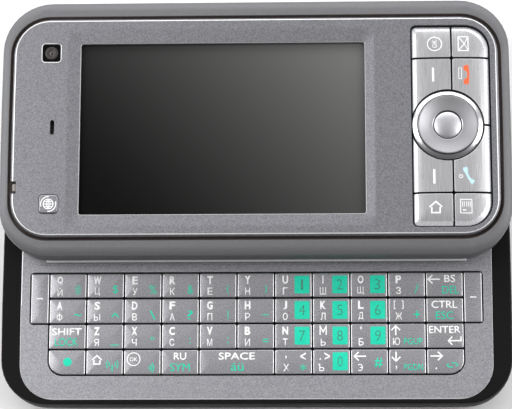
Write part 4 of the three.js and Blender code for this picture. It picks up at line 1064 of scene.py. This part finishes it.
def stroke(points, widths, level):
    """A flat band drawn along points (x, y): a plane for the first stretch, then its end edge extruded."""
    if not isinstance(widths, list):
        widths = [widths] * len(points)
    closed = math.dist(points[0], points[-1]) < MEETS
    sides = []
    for i, (x, y) in enumerate(points):
        before = points[i - 1] if i else (points[-2] if closed else None)
        after = points[i + 1] if i + 1 < len(points) else (points[1] if closed else None)
        into = Vector((x - before[0], y - before[1])).normalized() if before else None
        out = Vector((after[0] - x, after[1] - y)).normalized() if after else None
        along = ((into or out) + (out or into)).normalized()
        across = Vector((-along.y, along.x))
        normal = Vector((-(out or into).y, (out or into).x))
        reach = across.to_3d() * (widths[i] / 2 / max(across.dot(normal), 0.35))
        middle = Vector((x, y, level))
        sides.append((middle + reach, middle - reach))
    band = added(bpy.ops.mesh.primitive_plane_add, size=MM)
    (left, right), (next_left, next_right) = sides[:2]
    for vertex, place in zip(band.data.vertices, (right, next_right, left, next_left)):
        vertex.co = place
    edit(band)
    for past, new in zip(sides[1:], sides[2:]):
        pick(band, lambda edge: all(min((v.co - past[0]).length, (v.co - past[1]).length) < MEETS
                                    for v in edge.verts))
        bpy.ops.mesh.extrude_edges_move(TRANSFORM_OT_translate={"value": (0, 0, 0)})
        mesh = bmesh.from_edit_mesh(band.data)
        for vertex in mesh.verts:
            if vertex.select:
                vertex.co = new[0] if (vertex.co - past[0]).length < MEETS else new[1]
        bmesh.update_edit_mesh(band.data)
    bpy.ops.mesh.select_all(action="SELECT")
    bpy.ops.mesh.remove_doubles(threshold=MEETS)
    bpy.ops.mesh.normals_make_consistent(inside=False)
    if bmesh.from_edit_mesh(band.data).faces[:][0].normal.z < 0:
        bpy.ops.mesh.flip_normals()
    finish_edit()
    return band


def arc(x, y, radius, start, end, steps=12):
    """Points of an arc in degrees, anticlockwise."""
    points = []
    for i in range(steps + 1):
        angle = math.radians(start + (end - start) * i / steps)
        points.append((x + radius * math.cos(angle), y + radius * math.sin(angle)))
    return points


def slice_film(film):
    """Cuts a flat film across at an even pitch both ways, so that it can follow a crown."""
    low, high = span(film)
    edit(film)
    for axis, normal in ((1, (0, 1, 0)), (0, (1, 0, 0))):
        reach = high[axis] - low[axis]
        pitch = 0.7 * MM if axis == 0 and reach > 20 * MM else 0.35 * MM
        for i in range(1, int(reach / pitch) + 1):
            point = low.copy()
            point[axis] = low[axis] + i * pitch
            bpy.ops.mesh.select_all(action="SELECT")
            bpy.ops.mesh.bisect(plane_co=point, plane_no=normal)
    finish_edit()


# Letters drawn as bands, with points as shares of half the width and height: the font's
# outlines for these touch themselves, and would be filled wrongly.
DRAWN = {
    "Ь": [[(-1, 1), (-1, -1), (0.3, -1), (0.82, -0.85), (1, -0.5), (0.82, -0.15), (0.3, 0), (-0.82, 0)]],
    "Ъ": [[(-1, 1), (-0.5, 1), (-0.5, -1), (0.4, -1), (0.85, -0.85), (1, -0.5), (0.85, -0.15), (0.4, 0),
           (-0.32, 0)]],
    "Ы": [[(-1, 1), (-1, -1), (-0.3, -1), (0.08, -0.85), (0.2, -0.5), (0.08, -0.15), (-0.3, 0),
           (-0.85, 0)], [(1, 1), (1, -1)]],
    "Э": [[(-1, 0.7), (-0.6, 0.93), (0, 1), (0.6, 0.8), (0.93, 0.4), (1, 0), (0.93, -0.4), (0.6, -0.8),
           (0, -1), (-0.6, -0.93), (-1, -0.7)], [(-0.3, 0), (0.8, 0)]],
    "Я": [[(0.9, -1), (0.9, 1), (-0.3, 1), (-0.8, 0.85), (-1, 0.5), (-0.8, 0.15), (-0.3, 0), (0.72, 0)],
          [(-0.1, -0.14), (-0.9, -1)]],
}


def drawn_letter(text, x, y, level, height, width):
    """The bands of one letter that is drawn."""
    thick = 0.22 * MM
    reach_x, reach_y = (width - thick) / 2, (height - thick) / 2
    return [stroke([(x + across * reach_x, y + up * reach_y) for across, up in line], thick, level)
            for line in DRAWN[text]]


def placed(points, x, y):
    """Points in millimetres, moved to a place."""
    return [(x + across * MM, y + up * MM) for across, up in points]


def print_on(key, layers, ink, node, name=None):
    """Lays flat glyphs on a key's surface as a thin film of ink; crossing strokes are layers."""
    lift = bpy.context.scene.phone_sizes.ink_thickness * (2 if ink == "digit_ink" else 1)
    films = []
    for i, layer in enumerate(layers):
        film = join(layer, "film")
        slice_film(film)
        height = lift + i * 0.002 * MM
        apply_modifier(film, "SHRINKWRAP", target=key, wrap_method="PROJECT", use_project_z=True,
                       use_negative_direction=True, use_positive_direction=True, offset=height)
        apply_modifier(film, "SOLIDIFY", thickness=height + 0.01 * MM, offset=-1)
        films.append(film)
    dress(join(films, name or f"{node}_{ink}"), ink, node, "keyboard_keys")


def word_width(text, height):
    """A usual width for a glyph of that height."""
    narrow = {"I": 0.14, "J": 0.45, "|": 0.1, "(": 0.3, ")": 0.3, "'": 0.12, ":": 0.14, ";": 0.16,
              "\"": 0.4, "M": 0.85, "W": 0.9, "Ш": 0.85, "Щ": 0.92, "Ы": 0.85, "Ж": 0.9, "Ю": 0.95,
              "_": 1.0, "-": 0.8, "~": 0.9, "/": 0.5, "\\": 0.75, "%": 0.9, "^": 1.05, "+": 0.8}
    return height * narrow.get(text, 0.68)


# Symbols that don't fill the line: place above the key's centre and height (mm).
LOW_SYMBOLS = {"_": (-1.95, 0.22), "-": (-1.0, 0.22), "~": (-0.9, 0.55), "=": (-1.0, 0.8),
               "\"": (-0.5, 0.7), "^": (-0.95, 1.0), "+": (-1.0, 1.7), ":": (-1.0, 1.4), ";": (-1.1, 1.8)}


class PHONE_OT_letters(bpy.types.Operator):
    """Prints the letters, symbols and digits on the rows of letter keys"""

    bl_idname = "phone.letters"
    bl_label = "Letters"

    def execute(self, context):
        for node, legends in LETTER_ROWS.items():
            row = bpy.data.objects[cap_name(node)]
            films = {"white_ink": [[]], "mint_ink": [[]], "digit_ink": [[]]}
            for corners, legend in zip(rows_of_caps(node), legends):
                self.letter(*corners, legend, films)
            for ink, layers in films.items():
                if layers[0]:
                    print_on(row, layers, ink, node)
        return {"FINISHED"}

    def letter(self, low, high, legend, films):
        """The large letter, the small one and the symbol or digit of one cap."""
        sizes = bpy.context.scene.phone_sizes
        large, small, symbol = legend
        x, y = (low.x + high.x) / 2, (low.y + high.y) / 2
        top = high.z + HOVER
        left, upper, lower = x - 1.9 * MM, y + 1.25 * MM, y - 1.4 * MM
        white, mint = films["white_ink"], films["mint_ink"][0]
        height = sizes.letter_height
        if large == "[":
            for bracket, aside in (("[", -0.9), ("]", 0.9)):
                white[0].append(lettering(bracket, left + aside * MM, upper, top, height, 0.45 * MM))
        elif large == "'":
            white[0].append(lettering(large, left, y + 1.8 * MM, top, 0.75 * MM, 0.32 * MM, 0.02))
        elif large == "M":
            foot, half = 0.7 * MM, height / 2
            white[0].append(stroke([
                (left - foot, upper - half), (left - foot, upper + half), (left, upper - half * 0.3),
                (left + foot, upper + half), (left + foot, upper - half)], 0.32 * MM, top))
        else:
            white[0].append(lettering(large, left, upper, top, height, word_width(large, height), 0.042))
        height = sizes.small_letter_height
        place = (small, left, lower, top, height, word_width(small, height))
        if small == "Ф":
            for line in (arc(0, 0, 0.58, 0, 360, 20), [(0, 0.88), (0, -0.88)]):
                white.append([stroke(placed(line, left, lower), 0.2 * MM, top)])
        elif small in DRAWN:
            white[0].extend(drawn_letter(*place))
        else:
            tall = 1.15 if small in "ЙЦЩД" else 1
            bold = 0.0 if small in "МЩШЙЦИР" else 0.014
            white[0].append(lettering(small, left, lower, top, height * tall, place[-1], bold))
        if symbol.isdigit():
            place = (x + 2.0 * MM, y + 0.1 * MM, top)
            mint.append(digit_field(*place))
            width = (0.5 if symbol == "1" else 1.3) * MM
            films["digit_ink"][0].append(lettering(symbol, *place, 2.4 * MM, width, -0.012))
        else:
            drop, tall = LOW_SYMBOLS.get(symbol, (-0.95, 2.1))
            mint.append(lettering(symbol, x + 2.3 * MM, y + drop * MM, top, tall * MM,
                                  word_width(symbol, sizes.symbol_height)))


# Drawn arrows: place from the key's centre, turn in degrees and length of the shaft (mm).
ARROWS = {"backspace_key": (-2.4, 1.22, 180, 2.7), "up_arrow_key": (-2.65, 1.2, 90, 2.2),
          "left_arrow_key": (-2.15, 1.25, 180, 2.7), "down_arrow_key": (-2.65, 1.2, -90, 2.2),
          "right_arrow_key": (-2.15, 1.25, 0, 2.7)}

# What is drawn on the keys: ink, points and width (mm), or a width for each point. Points are
# taken from the key's centre, and on the front keys from the ring's. A word stands there as its
# text, place, height, width and turn in degrees.
SIGNS = {
    "left_soft_key": [("white_ink", [(-0.75, 0), (0.75, 0)], 0.3)],
    "right_soft_key": [("white_ink", [(-0.75, 0), (0.75, 0)], 0.3)],
    "home_key": [("white_ink", [(-2.85, 0.55), (-1.75, 1.55), (-0.65, 0.55)], 0.3),
                 ("white_ink", [(-2.45, 0.5), (-2.45, -0.4), (-1.05, -0.4), (-1.05, 0.5)], 0.3),
                 ("mint_ink", [(1.8, -0.6), (1.8, -2.2)], 0.3),
                 *[("mint_ink", arc(1.8, -0.5, radius, start, start + 80, 6), 0.22)
                   for radius in (0.75, 1.35) for start in (-40, 140)]],
    "keyboard_ok_key": [("white_ink", arc(-2.0, 0.7, 1.5, 0, 360, 32), 0.2),
                        ("white_ink", "OK", (-2.0, 0.7, 0.95, 1.75, 0)),
                        *[("mint_ink", arc(1.2, -1.3, radius, -45, 45, 6), 0.24)
                          for radius in (0.5, 1.0, 1.5)]],
    "enter_key": [("white_ink", [(3.6, -0.2), (3.6, -1.2), (0.9, -1.2)], 0.3),
                  ("white_ink", [(1.6, -0.25), (0.7, -1.2), (1.6, -2.15)], 0.3)],
    "right_arrow_key": [
        ("mint_ink", [(0.7, -0.5), (0.3, -0.9), (0.7, -1.3), (1.7, -1.3)], 0.24),
        ("mint_ink", [(1.3, -0.35), (2.3, -0.35), (2.7, -0.75), (2.3, -1.15)], 0.24)],
    "ok_key": [("white_ink", arc(-2.75, 19.45, 1.65, 0, 360, 36), 0.22),
               ("white_ink", "OK", (-2.75, 19.45, 1.1, 1.9, 90))],
    "mail_key": [
        ("white_ink", [(2.75, 17.75), (5.05, 17.75), (5.05, 21.15), (2.75, 21.15), (2.75, 17.75)], 0.22),
        ("white_ink", [(2.75, 17.75), (4.2, 19.45), (2.75, 21.15)], 0.2),
        ("white_ink", [(5.05, 17.75), (4.2, 19.45)], 0.16),
        ("white_ink", [(5.05, 21.15), (4.2, 19.45)], 0.16)],
    "soft_key_upper": [("white_ink", [(-3.2, 10.4), (-3.2, 13.7)], 0.5)],
    "soft_key_lower": [("white_ink", [(-3.3, -10.5), (-3.3, -13.9)], 0.5)],
    "end_key": [
        ("white_ink", [(2.75, 11.0), (2.75, 13.6), (3.4, 13.6), (3.4, 11.0), (2.75, 11.0)], 0.14),
        ("red_ink", [(4.3, 14.2), (4.45, 13.8), (4.55, 13.3), (4.8, 13.0), (4.95, 12.5), (5.0, 11.95),
                     (4.95, 11.4), (4.8, 10.9), (4.55, 10.6), (4.45, 10.1), (4.3, 9.7)],
         [1.0, 1.25, 1.2, 0.75, 0.5, 0.5, 0.5, 0.75, 1.2, 1.25, 1.0])],
    "call_key": [
        ("white_ink", arc(2.82, -12.2, 0.38, 0, 360, 16), 0.16),
        ("blue_ink", [(3.75, -10.1), (3.85, -10.5), (3.95, -10.9), (4.1, -11.4), (4.35, -12.0),
                      (4.65, -12.6), (5.0, -13.1), (5.35, -13.45), (5.7, -13.7)],
         [0.9, 1.1, 0.95, 0.55, 0.5, 0.5, 0.6, 1.05, 1.0])],
    "start_key": [("white_ink", [(-4.5, -19.4), (-3.05, -18.1), (-1.6, -19.4)], 0.34),
                  ("white_ink", [(-4.0, -19.4), (-4.0, -20.7), (-2.1, -20.7), (-2.1, -19.4)], 0.34)],
    "contacts_key": [
        ("white_ink", [(2.6, -17.65), (5.2, -17.65), (5.2, -20.8), (2.6, -20.8), (2.6, -17.65)], 0.2),
        *[("white_ink", [(across, -18.1), (across, -19.3)], 0.16)
          for across in (3.05, 3.5, 3.95, 4.4, 4.8)],
        ("white_ink", [(3.1, -20.1), (3.9, -20.1)], 0.3)],
    "web_key": [("white_ink", points, width) for points, width in [
        (arc(0, 0, 1.15, 0, 360, 32), 0.22), (arc(0, 0, 1.75, 85, 200, 16), 0.22),
        (arc(0, 0, 1.75, -95, 20, 16), 0.22), ([(-1.1, 0), (1.1, 0)], 0.17),
        ([(-0.95, 0.55), (0.95, 0.55)], 0.15), ([(-0.95, -0.55), (0.95, -0.55)], 0.15),
        ([(0, -1.1), (0, 1.1)], 0.17), (arc(1.2, 0, 1.65, 138, 222, 10), 0.16),
        (arc(-1.2, 0, 1.65, -42, 42, 10), 0.16)]],
}
BOLDNESS = {"white": 0.014, "fine": 0.0, "mint": 0.006, "digit": -0.012}


def arrow(across, up, turn, reach):
    """The shaft and the head of an arrow."""
    along = Vector((math.cos(math.radians(turn)), math.sin(math.radians(turn))))
    side = Vector((-along.y, along.x))
    tip = Vector((across, up)) + along * reach / 2
    return [("white_ink", [tip - along * reach, tip - along * 0.2], 0.32),
            ("white_ink", [tip - along + side, tip, tip - along - side], 0.32)]


def print_words(node, x, y, level, films):
    """Lays a key's words out, each in its ink's list of layers."""
    for word, ink, across, up, height, width in WORD_KEYS.get(node, []):
        place = (x + across * MM, y + up * MM, level)
        layers = films.setdefault(INKS[ink], [])
        if ink == "digit":
            films.setdefault("mint_ink", []).append([digit_field(*place)])
        if word in DRAWN:
            layers.append(drawn_letter(word, *place, height * MM, width * MM))
        else:
            bold = 0 if "M" in word else BOLDNESS[ink]
            layers.append([lettering(word, *place, height * MM, width * MM, bold)])


def print_signs(node, x, y, level, films):
    """Lays a key's arrow and signs out, each in its ink's list of layers."""
    lines = arrow(*ARROWS[node]) if node in ARROWS else []
    for ink, points, width in lines + SIGNS.get(node, []):
        if isinstance(points, str):
            across, up, height, wide, turn = width
            glyph = lettering(points, x + across * MM, y + up * MM, level, height * MM, wide * MM,
                              turn=math.radians(turn))
        else:
            wide = [w * MM for w in width] if isinstance(width, list) else width * MM
            glyph = stroke(placed(points, x, y), wide, level)
        films.setdefault(ink, []).append([glyph])
    if node == "function_key":
        dot = added(bpy.ops.mesh.primitive_circle_add, vertices=32, radius=1.0 * MM, fill_type="NGON",
                    location=(x + 0.15 * MM, y + 0.1 * MM, level))
        settle(dot)
        films.setdefault("mint_ink", []).append([dot])


def print_key(node, key, x, y, name=None):
    """Prints all that stands on one key, placed from (x, y)."""
    place = (x, y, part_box(node)[1].z + HOVER)
    films = {}
    print_words(node, *place, films)
    print_signs(node, *place, films)
    for ink, layers in films.items():
        print_on(key, layers, ink, node, name)


class PHONE_OT_words(bpy.types.Operator):
    """Prints the words, arrows and signs on the keyboard keys that stand alone"""

    bl_idname = "phone.words"
    bl_label = "Words"

    def execute(self, context):
        for node in LONE_KEYS:
            low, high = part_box(node)
            print_key(node, bpy.data.objects[cap_name(node)], (low.x + high.x) / 2, (low.y + high.y) / 2)
        return {"FINISHED"}


class PHONE_OT_front_signs(bpy.types.Operator):
    """Prints the signs on the eight front keys and the globe key"""

    bl_idname = "phone.front_signs"
    bl_label = "Front signs"

    def execute(self, context):
        ring, globe = middle_of("nav_ring"), middle_of("web_key")
        for node in FRONT_KEYS:
            print_key(node, bpy.data.objects[cap_name(node)], ring.x, ring.y)
        print_key("web_key", frame["nodes"]["web_key"], globe.x, globe.y, "globe_sign")
        return {"FINISHED"}


class PHONE_OT_stage(bpy.types.Operator):
    """Sets the pale floor, the soft studio light, the world and the camera"""

    bl_idname = "phone.stage"
    bl_label = "Stage"

    def execute(self, context):
        scene = context.scene
        floor = added(bpy.ops.mesh.primitive_plane_add, size=6, location=(0, 0, -0.05 * MM))
        floor.name = "floor"
        settle(floor)
        # Matte paper: nearly white, so that the phone's soft shadow shows on it.
        material, tree, place = start_material("matte_paper")
        fibres = add_node(tree, "TexNoise", {"Vector": place}, {"Scale": 1 / (3 * MM), "Detail": 3.0})
        base = scene.phone_colours.floor
        tone = add_node(tree, "Mix", {"Factor": fibres},
                        {"A": shade(base, 0.985), "B": shade(base, 1.01)}, data_type="RGBA")
        end_material(tree, {"Base Color": tone.outputs["Result"]},
                     {"Roughness": 0.9, "Specular IOR Level": 0.1})
        floor.data.materials.append(material)

        lamps = [
            ("left_softbox", (-0.38, 0.08, 0.3), 0.3, 0.6, 1.75),
            ("right_softbox", (0.7, 0.05, 0.5), 0.5, 0.9, 4.4),
            ("back_softbox", (0.0, 0.85, 0.5), 1.8, 0.5, 8.0),
        ]
        subject = Vector((0, 0.015, 0.01))
        for name, place, width, depth, power in lamps:
            aim = subject - Vector(place)
            lamp = added(bpy.ops.object.light_add, type="AREA", location=place,
                         rotation=aim.to_track_quat("-Z", "Y").to_euler())
            lamp.name = name
            lamp.data.shape = "RECTANGLE"
            lamp.data.size = width
            lamp.data.size_y = depth
            lamp.data.energy = power

        # The studio is dim in front and bright behind, as the photograph's reflections show.
        scene.world = bpy.data.worlds.new("studio")
        scene.world.use_nodes = True
        tree = scene.world.node_tree
        tree.nodes.clear()
        parts = add_node(tree, "SeparateXYZ",
                         {"Vector": add_node(tree, "TexCoord").outputs["Generated"]})
        level = add_node(tree, "MapRange", {"Value": parts.outputs["Y"]}, limits(0.12, 0.5, -0.7, 0.5))
        back = add_node(tree, "Background", {"Strength": level}, {"Color": (1, 1, 1, 1)})
        add_node(tree, "OutputWorld", {"Surface": back})

        # The camera's place, turn and lens are fitted to the photograph's outlines.
        turn = [math.radians(angle) for angle in (11.56424, 1.95368, 0.08406)]
        camera = added(bpy.ops.object.camera_add, location=(0.0158855, -0.0778279, 0.4732564),
                       rotation=turn)
        camera.name = "photo_camera"
        camera.data.lens = 140.967
        camera.data.sensor_width = 36
        camera.data.sensor_fit = "HORIZONTAL"
        camera.data.clip_start = 0.01
        camera.data.clip_end = 20
        scene.camera = camera
        scene.view_settings.view_transform = "Standard"
        return {"FINISHED"}


class PHONE_PT_panel(bpy.types.Panel):
    """Lists the steps that dress the phone"""

    bl_idname = "PHONE_PT_panel"
    bl_label = "Slider phone"
    bl_space_type = "VIEW_3D"
    bl_region_type = "UI"
    bl_category = "Phone"

    def draw(self, context):
        for operator in OPERATORS:
            self.layout.operator(operator.bl_idname)
        for group in (context.scene.phone_sizes, context.scene.phone_colours):
            for name in group.bl_rna.properties.keys():
                if name not in ("rna_type", "name"):
                    self.layout.prop(group, name)


OPERATORS = [PHONE_OT_stage, PHONE_OT_shells, PHONE_OT_display, PHONE_OT_fittings, PHONE_OT_keyboard,
             PHONE_OT_front_keys, PHONE_OT_navigation, PHONE_OT_letters, PHONE_OT_words,
             PHONE_OT_front_signs]
CLASSES = [PhoneSizes, PhoneColours, *OPERATORS, PHONE_PT_panel]


def register():
    for item in CLASSES:
        bpy.utils.register_class(item)
    bpy.types.Scene.phone_sizes = PointerProperty(type=PhoneSizes)
    bpy.types.Scene.phone_colours = PointerProperty(type=PhoneColours)


def unregister():
    del bpy.types.Scene.phone_colours
    del bpy.types.Scene.phone_sizes
    for item in reversed(CLASSES):
        bpy.utils.unregister_class(item)


def main():
    register()
    for operator in OPERATORS:
        group, name = operator.bl_idname.split(".")
        getattr(getattr(bpy.ops, group), name)()
    deselect()


if __name__ == "__main__":
    main()
